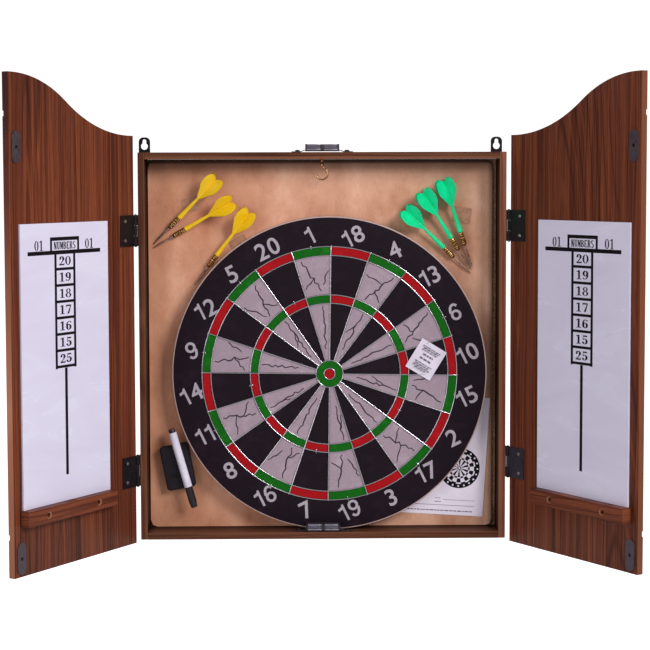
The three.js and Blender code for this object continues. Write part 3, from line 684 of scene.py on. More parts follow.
def studio():
    """The fitted camera, an even white world, two soft lights and a pale floor that fades to white."""
    camera = bpy.data.objects.new("camera", bpy.data.cameras.new("camera"))
    camera.data.sensor_width = 36
    camera.data.lens = CAMERA_LENS
    camera.data.shift_y = CAMERA_SHIFT
    camera.matrix_world = (shift(*CAMERA_PLACE) @ turn("Z", CAMERA_PAN)
                           @ turn("X", 90 + CAMERA_TILT) @ turn("Z", CAMERA_ROLL))
    bpy.context.scene.collection.objects.link(camera)
    bpy.context.scene.camera = camera
    bpy.context.scene.view_settings.view_transform = "Standard"

    world = bpy.data.worlds.new("studio")
    bpy.context.scene.world = world
    world.use_nodes = True
    tree = world.node_tree
    seen = tree.nodes["Background"]
    seen.inputs["Color"].default_value = (1, 1, 1, 1)
    seen.inputs["Strength"].default_value = WORLD_SEEN
    lit = tree.nodes.new("ShaderNodeBackground")
    lit.inputs["Color"].default_value = (0.95, 0.96, 1, 1)
    path = tree.nodes.new("ShaderNodeLightPath")
    dimmed = tree.nodes.new("ShaderNodeMath")
    dimmed.operation = "MULTIPLY_ADD"
    dimmed.inputs[1].default_value = -WORLD_GLOSS_LOSS
    dimmed.inputs[2].default_value = WORLD_LIGHT
    tree.links.new(path.outputs["Is Glossy Ray"], dimmed.inputs[0])
    tree.links.new(dimmed.outputs[0], lit.inputs["Strength"])
    mix = tree.nodes.new("ShaderNodeMixShader")
    tree.links.new(path.outputs["Is Camera Ray"], mix.inputs[0])
    tree.links.new(lit.outputs[0], mix.inputs[1])
    tree.links.new(seen.outputs[0], mix.inputs[2])
    tree.links.new(mix.outputs[0], tree.nodes["World Output"].inputs[0])

    def softbox(name, position, size, power, colour=(1, 1, 1)):
        light = bpy.data.lights.new(name, "AREA")
        light.shape = "RECTANGLE"
        light.size, light.size_y = size
        light.energy = power
        light.color = colour
        made = bpy.data.objects.new(name, light)
        made.location = position
        made.rotation_euler = (Vector((0, 0, 0)) - Vector(position)).to_track_quat("-Z", "Y").to_euler()
        bpy.context.scene.collection.objects.link(made)

    softbox("key", (1.9, -2.3, 1.5), (1.2, 1.2), KEY_POWER)
    softbox("fill", (-2.2, -2.4, 0.4), (1.6, 1.6), FILL_POWER)

    floor = Finish("floor_white", (0.93, 0.93, 0.93, 1), 0.8)
    floor.put(floor.shader, "Emission Color", (1, 1, 1, 1))
    depth = floor.dot(floor.place, (0, 1, 0))
    floor.put(floor.shader, "Emission Strength", floor.span(depth, *FLOOR_FADE, 0, 0.85))
    floor.colour(floor.span(depth, *FLOOR_FADE, 0.6, 0.93))
    mesh = bpy.data.meshes.new("floor")
    half = FLOOR_HALF
    mesh.from_pydata([(-half, -half, 0), (half, -half, 0), (half, half, 0), (-half, half, 0)], [], [(0, 1, 2, 3)])
    mesh.materials.append(floor.material)
    ground = bpy.data.objects.new("floor", mesh)
    ground.location = (0, 0, FLOOR_HEIGHT)
    bpy.context.scene.collection.objects.link(ground)


# ---------------------------------------------------------------- lettering

THICK, THIN = 0.215, 0.075


def arc(cx, cz, rx, rz, start, end, thick=THICK, thin=THIN, steps=20):
    """A stroke along an ellipse, thick at its sides and thin at its top and bottom."""
    outer, inner = [], []
    for i in range(steps + 1):
        t = math.radians(start + (end - start) * i / steps)
        outer.append((cx + rx * math.cos(t), cz + rz * math.sin(t)))
        inner.append((cx + (rx - thick) * math.cos(t), cz + (rz - thin) * math.sin(t)))
    return outer, inner


def bar(x0, z0, x1, z1):
    """An upright or level stroke as a rectangle."""
    return [(x0, z0), (x0, z1)], [(x1, z0), (x1, z1)]


def slant(x0, z0, w0, x1, z1, w1):
    """A straight stroke that leans, with its width at each end."""
    return [(x0 - w0 / 2, z0), (x1 - w1 / 2, z1)], [(x0 + w0 / 2, z0), (x1 + w1 / 2, z1)]


def dot(cx, cz, radius):
    """A round blob at the end of a stroke."""
    return arc(cx, cz, radius, radius, 0, 360, radius * 0.98, radius * 0.98, 14)


def turned_over(strokes):
    """The same strokes, turned by half a turn."""
    return [([(0.62 - x, 1 - z) for x, z in a], [(0.62 - x, 1 - z) for x, z in b]) for a, b in strokes]


SIX = [arc(0.31, 0.32, 0.30, 0.32, 0, 360), arc(0.44, 0.5, 0.43, 0.5, 95, 180, 0.17, 0.05), dot(0.50, 0.86, 0.085)]
SERIF = {
    "0": [arc(0.31, 0.5, 0.31, 0.5, 0, 360, 0.18, 0.05)],
    "1": [bar(0.22, 0, 0.41, 1), bar(0.06, 0, 0.57, 0.06), ([(0.05, 0.80), (0.22, 0.86)], [(0.05, 0.86), (0.24, 1)])],
    "2": [arc(0.30, 0.72, 0.28, 0.28, 160, -45), dot(0.13, 0.72, 0.10), slant(0.10, 0.06, 0.10, 0.46, 0.56, 0.13),
          bar(0.03, 0, 0.56, 0.15), slant(0.52, 0, 0.08, 0.57, 0.26, 0.04)],
    "5": [bar(0.12, 0.84, 0.54, 1), slant(0.12, 0.48, 0.05, 0.14, 0.95, 0.05),
          arc(0.29, 0.32, 0.31, 0.32, 135, -150), dot(0.11, 0.21, 0.095)],
    "6": SIX,
    "7": [bar(0.04, 0.84, 0.58, 1), slant(0.07, 0.68, 0.03, 0.06, 0.9, 0.05), slant(0.27, 0, 0.20, 0.53, 0.86, 0.09)],
    "8": [arc(0.31, 0.75, 0.25, 0.25, 0, 360, 0.15, 0.05), arc(0.31, 0.27, 0.31, 0.27, 0, 360, 0.18, 0.05)],
    "9": turned_over(SIX),
    "N": [bar(0.04, 0, 0.15, 1), slant(0.15, 1, 0.24, 0.47, 0, 0.24), bar(0.47, 0, 0.58, 1), bar(0, 0, 0.2, 0.09),
          bar(0, 0.91, 0.2, 1), bar(0.4, 0.91, 0.62, 1)],
    "U": [bar(0.06, 0.25, 0.26, 1), bar(0.43, 0.25, 0.55, 1), arc(0.305, 0.28, 0.245, 0.28, 180, 360, 0.17, 0.1),
          bar(0, 0.91, 0.33, 1), bar(0.38, 0.91, 0.62, 1)],
    "M": [bar(0.03, 0, 0.13, 1), slant(0.13, 1, 0.22, 0.31, 0.1, 0.14), slant(0.5, 1, 0.13, 0.31, 0.1, 0.1),
          bar(0.44, 0, 0.62, 1), bar(0, 0, 0.18, 0.09), bar(0.38, 0, 0.62, 0.09)],
    "B": [bar(0.05, 0, 0.26, 1), arc(0.3, 0.75, 0.27, 0.25, -90, 90, 0.18, 0.09), bar(0.2, 0.91, 0.31, 1),
          arc(0.3, 0.27, 0.32, 0.27, -90, 90, 0.19, 0.09), bar(0.2, 0, 0.31, 0.09), bar(0.2, 0.46, 0.31, 0.55)],
    "E": [bar(0.05, 0, 0.26, 1), bar(0.2, 0.9, 0.57, 1), bar(0.2, 0, 0.59, 0.1), bar(0.2, 0.45, 0.44, 0.55),
          bar(0.48, 0.74, 0.57, 1), bar(0.5, 0, 0.59, 0.28)],
    "R": [bar(0.05, 0, 0.26, 1), arc(0.3, 0.74, 0.28, 0.26, -90, 90, 0.18, 0.09), bar(0.2, 0.91, 0.31, 1),
          bar(0.2, 0.46, 0.31, 0.55), slant(0.36, 0.5, 0.17, 0.53, 0, 0.2), bar(0, 0, 0.32, 0.09)],
    "S": [arc(0.31, 0.74, 0.27, 0.26, 30, 250, 0.17, 0.1), arc(0.31, 0.26, 0.29, 0.28, -150, 70, 0.19, 0.1),
          slant(0.2, 0.62, 0.16, 0.44, 0.4, 0.18)],
}


def serif_text(text, height, centre, width=0.62, gap=0.12, direction=1):
    """Printed serif characters, centred on a point in X and Z. direction is -1 where the text runs along -X."""
    total = len(text) * width + (len(text) - 1) * gap * width
    shapes = []
    for i, character in enumerate(text):
        start = -total / 2 + i * width * (1 + gap)
        for number, (a, b) in enumerate(SERIF[character]):
            def at(points):
                return [(centre[0] + direction * height * (start + x * width / 0.62),
                         centre[1] + height * (z - 0.5)) for x, z in points]
            shapes.append(strip(at(a), at(b), -0.02, 0.06 + 0.004 * number))
    return shapes


def sans_text(text, height, bold=0.014):
    """Figures in the plain built-in face, centred on the origin, in X and Z, and facing the player."""
    curve = bpy.data.curves.new("figures", "FONT")
    curve.body = text
    curve.align_x, curve.align_y = "CENTER", "CENTER"
    curve.offset = bold
    curve.extrude = 0.01
    curve.resolution_u = 5
    holder = bpy.data.objects.new("figures", curve)
    bpy.context.scene.collection.objects.link(holder)
    graph = bpy.context.evaluated_depsgraph_get()
    mesh = bpy.data.meshes.new_from_object(holder.evaluated_get(graph))
    made = bmesh.new()
    made.from_mesh(mesh)
    bpy.data.objects.remove(holder)
    bpy.data.curves.remove(curve)
    bpy.data.meshes.remove(mesh)
    xs = [v.co.x for v in made.verts]
    ys = [v.co.y for v in made.verts]
    made.transform(shift(-(min(xs) + max(xs)) / 2, -(min(ys) + max(ys)) / 2, 0))
    size = height / (max(ys) - min(ys))
    made.transform(turn("X", 90) @ Matrix.Diagonal((size, size, 8, 1)))
    bmesh.ops.remove_doubles(made, verts=made.verts[:], dist=1e-4)
    return made


# ---------------------------------------------------------------- screws

def screw(radius, height, steps=20):
    """A round head with a cross recess, standing on Z 0."""
    made = bmesh.new()
    arm, half, deep = radius * 0.52, radius * 0.14, height * 0.5
    cross = [(-half, arm), (half, arm), (half, half), (arm, half), (arm, -half), (half, -half),
             (half, -arm), (-half, -arm), (-half, -half), (-arm, -half), (-arm, half), (-half, half)]
    top = height - 0.02
    rim = [made.verts.new((radius * 0.72 * math.cos(t), radius * 0.72 * math.sin(t), top))
           for t in (2 * math.pi * i / steps for i in range(steps))]
    hole = [made.verts.new((x, y, top)) for x, y in cross]
    floor = [made.verts.new((x * 0.75, y * 0.75, top - deep)) for x, y in cross]
    edges = [made.edges.new((loop[i], loop[(i + 1) % len(loop)])) for loop in (rim, hole) for i in range(len(loop))]
    bmesh.ops.triangle_fill(made, edges=edges, use_beauty=True)
    count = len(cross)
    for i in range(count):
        made.faces.new((hole[i], hole[(i + 1) % count], floor[(i + 1) % count], floor[i]))
    made.faces.new(floor)
    previous = rim
    for share, level in ((0.9, height * 0.8), (1.0, height * 0.42), (1.0, 0.0)):
        row = [made.verts.new((radius * share * math.cos(t), radius * share * math.sin(t), level))
               for t in (2 * math.pi * i / steps for i in range(steps))]
        for i in range(steps):
            made.faces.new((previous[i], previous[(i + 1) % steps], row[(i + 1) % steps], row[i]))
        previous = row
    made.faces.new(previous)
    bmesh.ops.recalc_face_normals(made, faces=made.faces[:])
    return made


def screws_at(places, radius, height):
    """places are matrices that carry a head standing on Z 0 to where it belongs."""
    return gather([moved(screw(radius, height), place) for place in places])


TOWARDS_PLAYER = turn("X", 90)   # a head that faces -Y
INTO_CABINET = turn("X", -90)    # a head that faces +Y


# ---------------------------------------------------------------- carcass

def carcass():
    """The four panels of the frame and the back panel."""
    pale_top = ((0, 0, 1), INSIDE_Z + 3.8, INSIDE_Z + 2.6, 0.9)
    dress("top_panel", wood("frame_top", FRAME_WALNUT, (1, 0, 0), (0, 1, 1), 1.3, pale=pale_top,
                            inner=((0, 0, -1), 0.9, 0.96)))
    pale_bottom = ((0, 0, 1), -INSIDE_Z - 2.4, -INSIDE_Z - 1.2, 0.4)
    dress("bottom_panel", wood("frame_bottom", FRAME_WALNUT, (1, 0, 0), (0, 1, 1), 2.9, pale=pale_bottom,
                               inner=((0, 0, 1), 0, 0.75)))
    # The side panels' lighter walnut is painted light.
    pale_left = ((1, 0, 0), -INSIDE_X - 2.2, -INSIDE_X - 1.2, 0.35)
    dress("left_side_panel", wood("frame_left", LEFT_PANEL_LIT_WALNUT, (0, 0, 1), (1, 1, 0), 4.7, pale=pale_left,
                                  inner=((1, 0, 0), 0.8, 0.96)))
    pale_right = ((1, 0, 0), INSIDE_X + 2.6, INSIDE_X + 1.2, 0.5)
    dress("right_side_panel", wood("frame_right", RIGHT_PANEL_LIT_WALNUT, (0, 0, 1), (1, 1, 0), 6.1, pale=pale_right,
                                   inner=((-1, 0, 0), 0.62, 0.95)))
    dress("back_panel", FIBREBOARD, 0.2)
    for side in ("left", "right"):
        dress(side + "_hanger", BLACK_METAL, 0.2)
        for level in ("upper", "lower"):
            dress(f"{side}_{level}_frame_leaf", BLACK_METAL, 0.15)


def card():
    """The brown card behind the board: a little bowed, creased near its left side, with round corners."""
    left, right, bottom, top = -INSIDE_X + 1.1, INSIDE_X - 5.1, -INSIDE_Z + 0.5, INSIDE_Z - 1.6
    crease, corner, across, up = left + 9, 9, 56, 48
    made = bmesh.new()
    grid = []
    for i in range(across + 1):
        column = []
        for j in range(up + 1):
            x = left + (right - left) * (i / across)
            z = bottom + (top - bottom) * (j / up)
            dx = max(left + corner - x, x - (right - corner), 0)
            dz = max(bottom + corner - z, z - (top - corner), 0)
            reach = math.hypot(dx, dz)
            if dx and dz and reach > corner:
                x += (dx - dx * corner / reach) * (1 if x < 0 else -1)
                z += (dz - dz * corner / reach) * (1 if z < 0 else -1)
            bow = 0.35 * math.sin(x / 41) * math.cos(z / 63)
            lift = max(0.0, (crease - x) / 9) * 2.4
            curl = max(0.0, (x - 216) / 12) * max(0.0, (-222 - z) / 25) * 4
            column.append(made.verts.new((x, CARD_FACE + 0.4 + bow - lift - curl, z)))
        grid.append(column)
    for i in range(across):
        for j in range(up):
            made.faces.new((grid[i][j], grid[i + 1][j], grid[i + 1][j + 1], grid[i][j + 1]))
    skin = made.faces[:]
    thick = bmesh.ops.extrude_face_region(made, geom=skin)["geom"]
    bmesh.ops.translate(made, vec=(0, 1.6, 0), verts=[v for v in thick if isinstance(v, bmesh.types.BMVert)])
    bmesh.ops.recalc_face_normals(made, faces=made.faces[:])
    piece("card", made, "cabinet", CARD, ["backing_card"], smooth=40)

    tapes = []
    for x, z, size, lean in ((187.5, 172.9, 24, 8), (-176.5, 187.3, 22, -14), (-110, 133.6, 24, -30)):
        outline = [(-size / 2, -size / 2.3), (size / 2, -size / 2.3), (size / 2, size / 2.3), (-size / 2, size / 2.3)]
        tapes.append(moved(slab(outline, CARD_FACE - 0.16, CARD_FACE + 0.1), shift(x, 0, z) @ turn("Y", lean)))
    piece("tape_squares", gather(tapes), "cabinet", TAPE)


def catches():
    """Double magnetic catches: a thin frame on sloping ears, and a magnet between steel plates in each half."""
    for name, base, way in (("top_catch", HEIGHT / 2 + 0.1, 1), ("bottom_catch", -INSIDE_Z + 0.1, 1)):
        y0, y1 = FRONT + 0.1, FRONT + 15.1
        floor, roof = base + 1.0, base + 10.4
        frame_parts = [
            box(-22.4, 22.4, y0, y1, floor, floor + 1.5, 0.2),
            box(-22.4, -20.6, y0, y1, floor, roof, 0.25),
            box(20.6, 22.4, y0, y1, floor, roof, 0.25),
            box(-2.2, 2.2, y0, y1, floor, roof - 0.3, 0.25),
            box(-22.0, 22.0, y0 + 11.4, y1, floor, roof - 0.4, 0.25),
            box(-22.2, -19.6, y0 - 0.0, y0 + 2.0, roof - 1.4, roof, 0.25),
            box(19.6, 22.2, y0 - 0.0, y0 + 2.0, roof - 1.4, roof, 0.25),
        ]
        for way in (-1, 1):
            slope = [(way * 22.0, base + 2.4), (way * 28.6, base + 0.02), (way * 40.4, base + 0.02),
                     (way * 40.4, base + 1.0), (way * 29.0, base + 1.0), (way * 22.0, base + 3.4)]
            frame_parts.append(slab(slope, y0 + 3.2, y1 - 3.2, 0.12))
        piece(name + "_frame", gather(frame_parts), "cabinet", CATCH_PLASTIC, [name + "_housing"])
        for half, x0 in (("left", -20.5), ("right", 2.3)):
            x1 = x0 + 18.2
            plates = [
                box(x0, x1, y0 + 0.2, y0 + 11, roof - 1.7, roof - 0.1, 0.12),
                box(x0, x1, y0 + 0.2, y0 + 11, floor + 1.6, floor + 3.0, 0.12),
            ]
            piece(f"{name}_{half}_plates", gather(plates), "cabinet", MAGNET_STEEL,
                  [f"{name}_{half}_magnet"])
            block = box(x0 + 0.3, x1 - 0.3, y0 + 1.4, y0 + 10.6, floor + 3.0, roof - 1.7, 0.1)
            line = box(x0 + 0.1, x1 - 0.1, y0 + 0.5, y0 + 1.4, floor + 4.2, floor + 6.0, 0.1)
            piece(f"{name}_{half}_ferrite", gather([block, line]), "cabinet", FERRITE)
        middle = (y0 + y1) / 2
        heads = [shift(x, middle, base + 1.0) for x in (-32.6, 32.6)]
        piece(name + "_screws", screws_at(heads, 3.2, 1.9), "cabinet", DARK_SCREW)


def cup_hook():
    """A brass hook screwed into the underside of the top panel."""
    y, ring_z, ring, wire = FRONT + 23, 228.2, 7.6, 1.1
    top = INSIDE_Z - 0.1
    path = [(0, y, top - 3), (0, y, ring_z + ring + 5.0), (0.6, y, ring_z + ring + 3.0)]
    for i in range(27):
        angle = math.radians(68 - i * 236 / 26)
        path.append((ring * math.cos(angle), y, ring_z + ring * math.sin(angle)))
    radii = [wire + 0.25, wire + 0.1] + [wire] * (len(path) - 5) + [wire * 0.96, wire * 0.86, wire * 0.6]
    flange = lathe([(0, top), (3.1, top), (3.2, top - 0.5), (2.5, top - 1.2), (1.4, top - 1.7), (1.2, top - 4.0),
                    (1.9, top - 4.8), (2.5, top - 6.0), (2.7, top - 7.2), (2.5, top - 8.4), (1.9, top - 9.3),
                    (1.2, top - 9.9), (0, top - 10.0)], 28)
    flange = moved(flange, shift(0, y, 0))
    piece("brass_cup_hook", gather([tube(path, radii, 14), flange]), "cabinet", HOOK_BRASS,
          ["cup_hook"], smooth=50)


def hangers():
    """The screws of the two keyhole hangers at the rear top corners."""
    heads = []
    for x in (-237.2, 234):
        heads += [shift(x + way * 3.8, -1.5, 252.6) @ TOWARDS_PLAYER for way in (-1, 1)]
    piece("hanger_screws", screws_at(heads, 2.2, 0.9), "cabinet", DARK_SCREW)


# ---------------------------------------------------------------- doors

def hinge_pin(half=20.8):
    """A steel pin with a small head at each end."""
    profile = [(0, -half - 0.8), (1.3, -half - 0.8), (1.85, -half - 0.4), (1.85, -half), (1.1, -half)]
    return lathe(profile + [(r, -z) for r, z in reversed(profile)], 20)


def doors():
    """Both doors with their hinges, scoreboards, ledges and strikes."""
    for side in ("left", "right"):
        body = side + "_door_body"
        place, post = door_matrix(side), pin_matrix(side)
        rotation = place.to_3x3()
        face = (rotation @ Vector((0, 1, 0))).normalized()
        across = (rotation @ Vector((1, 0, 0))).normalized()
        pin = Vector((post.translation.x, post.translation.y, 0))
        start = pin.dot(face)
        routed = ((start - FACE_FROM_PIN - 8.9) * MM, (start - FACE_FROM_PIN - 0.4) * MM)
        seed = 11.7 if side == "left" else 31.9
        # The left door's edge carries painted light and shade.
        edge = LEFT_EDGE_SHADING if side == "left" else RIGHT_EDGE
        # The left door's foil takes painted shade towards both ends.
        tone = LEFT_DOOR_SHADING if side == "left" else None
        # The left door takes the lighter copy of the walnut, painted light.
        palette = LIT_DOOR_WALNUT if side == "left" else WALNUT
        door_wood = wood(side + "_door_walnut", palette, (0, 0, 1), across, seed, edge, face, routed, tone=tone)
        dress(side + "_door", door_wood, 0.35)
        ledge_wood = wood(side + "_ledge_walnut", WALNUT, across, (0, 0, 1), seed + 5)
        dress(side + "_ledge", ledge_wood, 0.4)
        dress(side + "_scoreboard", WHITEBOARD, 0.2)
        screws, dark = [], []
        for level, z in zip(("upper", "lower"), HINGES[side]):
            # The right lower leaf takes the painted sheen.
            leaf_finish = SHEEN_LEAF_STEEL if (side, level) == ("right", "lower") else BLACK_METAL
            dress(f"{side}_{level}_door_leaf", leaf_finish, 0.15)
            piece(f"{side}_{level}_pin", moved(hinge_pin(), post @ shift(0, 0, z)), "cabinet", BLACK_METAL,
                  [f"{side}_{level}_hinge_pin"])
            for dz in HINGE_SCREWS:
                on_leaf = shift(EDGE_FROM_PIN + 20, ON_DOOR + LEAF, z + dz) @ INTO_CABINET @ turn("Z", 20 * dz)
                screws.append(place @ on_leaf)
                on_frame = shift(3.1 - LEAF, 20, z + dz) @ turn("Y", -90) @ turn("Z", 31 * dz)
                dark.append(post @ on_frame)
        piece(side + "_hinge_screws", screws_at(screws, 2.3, 1.2), body, SCREW_STEEL)
        piece(side + "_frame_hinge_screws", screws_at(dark, 2.3, 1.0), "cabinet", SCREW_STEEL)
        strike_heads = []
        for level, z in (("upper", 262), ("lower", -238)):
            dress(f"{side}_{level}_strike", STRIKE_STEEL, 0.3)
            strike_heads.append(place @ shift(EDGE_FROM_PIN + 230.5, ON_DOOR - 0.1, z) @ INTO_CABINET)
        piece(side + "_strike_screws", screws_at(strike_heads, 2.0, 1.0), body, BLACK_METAL)
        ledge_screws(side, body, place)
        score_ladder(side, body, place)


def ledge_screws(side, body, place):
    """Each hole shows its bare rim and a dark screw deep inside."""
    middle, depth = -189.3, ON_DOOR + 13.2
    rims, heads = [], []
    for u in (95, 193):
        at = place @ shift(EDGE_FROM_PIN + u, 0, middle) @ INTO_CABINET
        cone = lathe([(3.2, depth - 0.9), (4.2, depth + 0.04), (4.5, depth + 0.1), (4.5, depth - 0.2),
                      (3.4, depth - 1.4), (3.2, depth - 0.9)], 28)
        rims.append(moved(cone, at))
        heads.append(at @ shift(0, 0, depth - 5.5))
    piece(side + "_ledge_hole_rims", gather(rims), body, RIM)
    piece(side + "_ledge_screws", screws_at(heads, 2.1, 1.6), body, DARK_SCREW)


RIM = fibre_finish("bare_fibre_rim", rgb(168, 112, 82), rgb(146, 94, 66), rgb(186, 132, 100), 0.7)


def score_ladder(side, body, place):
    """The printed score ladder: a header, a bar, seven boxes and a line."""
    way = -1 if side == "left" else 1
    centre = EDGE_FROM_PIN + (144.4 if side == "left" else 142.6)
    surface = ON_DOOR + 2.5
    shapes = []

    def block(x0, x1, z0, z1, lift=0.05):
        shapes.append(box(centre + x0, centre + x1, -0.02, lift, z0, z1))

    block(-70, 70, 130.0, 135.0)
    block(-28.0, 28.0, 147.0, 151.5, 0.054)
    block(-28.0, -24.2, 134, 148, 0.058)
    block(24.2, 28.0, 134, 148, 0.058)
    block(-2.5, 2.5, -146.6, -12, 0.054)
    block(-20.2, -16.0, -12.4, 131, 0.062)
    block(16.0, 20.2, -12.4, 131, 0.062)
    step = 142 / 7
    for i in range(1, 8):
        level = 130.6 - i * step
        block(-18, 18, level - 0.3, level + 3.1, 0.066)
    for i, label in enumerate(("20", "19", "18", "17", "16", "15", "25")):
        middle = 130.6 - (i + 0.5) * step + 1.3
        shapes += serif_text(label, 11.2, (centre, middle), 0.98, 0.08, way)
    shapes += serif_text("NUMBERS", 9.2, (centre, 140.9), 0.6, 0.1, way)
    for x in (-48, 49):
        shapes += serif_text("01", 12.4, (centre + x, 141.8), 0.62, 0.14, way)
    printed = moved(gather(shapes), place @ shift(0, surface, 0))
    bmesh.ops.recalc_face_normals(printed, faces=printed.faces[:])
    piece(side + "_score_print", printed, body, PRINT_BLACK, smooth=0)


# ---------------------------------------------------------------- dartboard

def board_face():
    """The board's body: a closed disc whose face is divided into the scoring beds."""
    beds = [0, BULL, RINGS[4], RINGS[3], RINGS[2], RINGS[1], RINGS[0], 176, BOARD_RADIUS - 1.7]
    per_sector = 9
    count = 20 * per_sector
    black, light, red, green, band = range(5)
    made = bmesh.new()
    face, back = BOARD_FACE, BOARD_FACE + BOARD_THICK

    def ring(radius, y):
        offset = math.radians(-SECTOR / 2)
        return [made.verts.new((x, y, z)) for x, z in circle(radius, count, offset)]

    rows = [ring(radius, face) for radius in beds[1:]]
    centre = made.verts.new((0, face, 0))
    for i in range(count):
        fill = made.faces.new((centre, rows[0][(i + 1) % count], rows[0][i]))
        fill.material_index = red
    for bed in range(len(rows) - 1):
        for i in range(count):
            dark = (i // per_sector) % 2 == 0
            fill = made.faces.new((rows[bed][i], rows[bed][(i + 1) % count],
                                   rows[bed + 1][(i + 1) % count], rows[bed + 1][i]))
            if bed == 0:
                fill.material_index = green
            elif bed in (2, 4):
                fill.material_index = red if dark else green
            elif bed in (1, 3):
                fill.material_index = black if dark else light
            else:
                fill.material_index = black
    previous = rows[-1]
    for radius, y, finish in ((BOARD_RADIUS - 0.9, face + 0.25, band), (BOARD_RADIUS - 0.25, face + 0.8, band),
                              (BOARD_RADIUS, face + 1.6, band),
                              (BOARD_RADIUS, back - 1, band), (BOARD_RADIUS - 1, back, band)):
        row = ring(radius, y)
        for i in range(count):
            side = made.faces.new((previous[i], previous[(i + 1) % count], row[(i + 1) % count], row[i]))
            side.material_index = finish
        previous = row
    made.faces.new(previous).material_index = light
    bmesh.ops.recalc_face_normals(made, faces=made.faces[:])
    piece("dartboard_body", moved(made, BOARD), "dartboard", [FACE_BLACK, FACE_LIGHT, FACE_RED, FACE_GREEN, BAND],
          ["dartboard_core"], smooth=30)


def flagged_one(height):
    """The figure 1 as a stem with a flag, in X and Z, centred on the origin, facing the player."""
    stem, flag = height * 0.14, height * 0.26
    top, foot = height / 2, -height / 2
    right = stem * 0.75
    left = right - stem
    outline = [(right, foot), (right, top), (left + stem * 0.25, top), (left - stem * 0.1, top - flag * 0.45),
               (left - flag, top - flag * 0.72), (left - flag, top - flag * 1.3),
               (left, top - flag * 1.1), (left, foot)]
    return slab(outline, -0.09, 0.09)


def hooked_six(height, over=False):
    """The figure 6 as a bowl with a curved hook, or the 9 as the same turned over."""
    bowl = arc(0.31, 0.31, 0.31, 0.31, 0, 360, 0.155, 0.14, 32)
    hook = arc(0.35, 0.5, 0.35, 0.5, 42, 180, 0.155, 0.14, 24)
    strokes = [bowl, hook]
    if over:
        strokes = turned_over(strokes)
    shapes = []
    for number, sides in enumerate(strokes):
        a, b = ([((x - 0.31) * height, (z - 0.5) * height) for x, z in side] for side in sides)
        shapes.append(strip(a, b, -0.08 - 0.004 * number, 0.08))
    return gather(shapes)


def figure(label, height):
    """A board figure of one or two characters side by side."""
    gap = height * (0.2 if "1" in label else 0.12)
    glyphs = []
    for character in label:
        if character == "1":
            glyph = flagged_one(height)
        elif character in "69":
            glyph = hooked_six(height, character == "9")
        else:
            glyph = sans_text(character, height)
        xs = [v.co.x for v in glyph.verts]
        glyphs.append((glyph, min(xs), max(xs)))
    total = sum(high - low for _, low, high in glyphs) + gap * (len(glyphs) - 1)
    at, placed = -total / 2, []
    for glyph, low, high in glyphs:
        placed.append(moved(glyph, shift(at - low, 0, 0)))
        at += high - low + gap
    return gather(placed)


def board_figures():
    """The twenty numbers around the board."""
    values = (20, 1, 18, 4, 13, 6, 10, 15, 2, 17, 3, 19, 7, 16, 8, 11, 14, 9, 12, 5)
    radius, height = 186, 23
    shapes = []
    for i, value in enumerate(values):
        angle = math.radians(SECTOR * i)
        at = shift(radius * math.sin(angle), BOARD_FACE - 0.05, radius * math.cos(angle))
        shapes.append(moved(figure(str(value), height), at))
    piece("dartboard_figures", moved(gather(shapes), BOARD), "dartboard", FIGURE, smooth=0)


def wander(draw, start, end, jitter, step=4.6):
    """A kinked line between two points."""
    start, end = Vector(start), Vector(end)
    along = (end - start).normalized()
    across = Vector((-along.y, along.x))
    count = max(3, round((end - start).length / step))
    line = [start]
    for i in range(1, count):
        point = start.lerp(end, (i + draw.uniform(-0.25, 0.25)) / count)
        line.append(point + across * draw.uniform(-jitter, jitter))
    return line + [end]


def board_cracks():
    """Crack lines printed on the light beds: long kinked lines from wire to wire with a side branch."""
    draw = random.Random(20)
    shapes = []

    def spot(radius, degrees):
        turned = math.radians(degrees)
        return radius * math.sin(turned), radius * math.cos(turned)

    for number, sector in enumerate(range(1, 20, 2)):
        middle = SECTOR * sector
        way = 1 if number % 2 else -1
        start = spot(154, middle + way * draw.uniform(1, 6.5))
        end = spot(draw.uniform(109, 112), middle - way * draw.uniform(-1, 4))
        main = wander(draw, start, end, 2.2)
        shapes.append(crack(main, 2.1))
        low = main[len(main) * 3 // 5]
        shapes.append(crack(wander(draw, low, spot(draw.uniform(110, 120), middle + way * 7.4), 1.6), 1.8))
        if number % 3 != 1:
            start = spot(draw.uniform(136, 146), middle - way * 7.8)
            end = spot(draw.uniform(112, 122), middle - way * draw.uniform(3, 7))
            shapes.append(crack(wander(draw, start, end, 1.8), 1.8))
        else:
            root = main[len(main) * 2 // 5]
            shapes.append(crack(wander(draw, root, spot(draw.uniform(140, 150), middle - way * 7.4), 1.6), 1.7))
        start = spot(91.5, middle + way * draw.uniform(-5, 5))
        end = spot(draw.uniform(30, 44), middle - way * draw.uniform(0, 3))
        main = wander(draw, start, end, 1.7)
        shapes.append(crack(main, 1.9))
        if number % 2:
            root = main[len(main) // 3]
            shapes.append(crack(wander(draw, root, spot(draw.uniform(54, 64), middle - way * 6.4), 1.2), 1.6))
    piece("dartboard_cracks", moved(gather(shapes), BOARD), "dartboard", CRACK_PRINT, smooth=0)


def crack(line, width):
    """One crack as a thin dark ribbon on the face."""
    count = len(line)
    widths = [width * (1 - 0.35 * abs(2 * i / (count - 1) - 1)) for i in range(count)]
    return ribbon(line, widths, BOARD_FACE - 0.05, BOARD_FACE + 0.1)


SPIDER_FRONT = -32.0
STAPLE_WIRE = 0.45


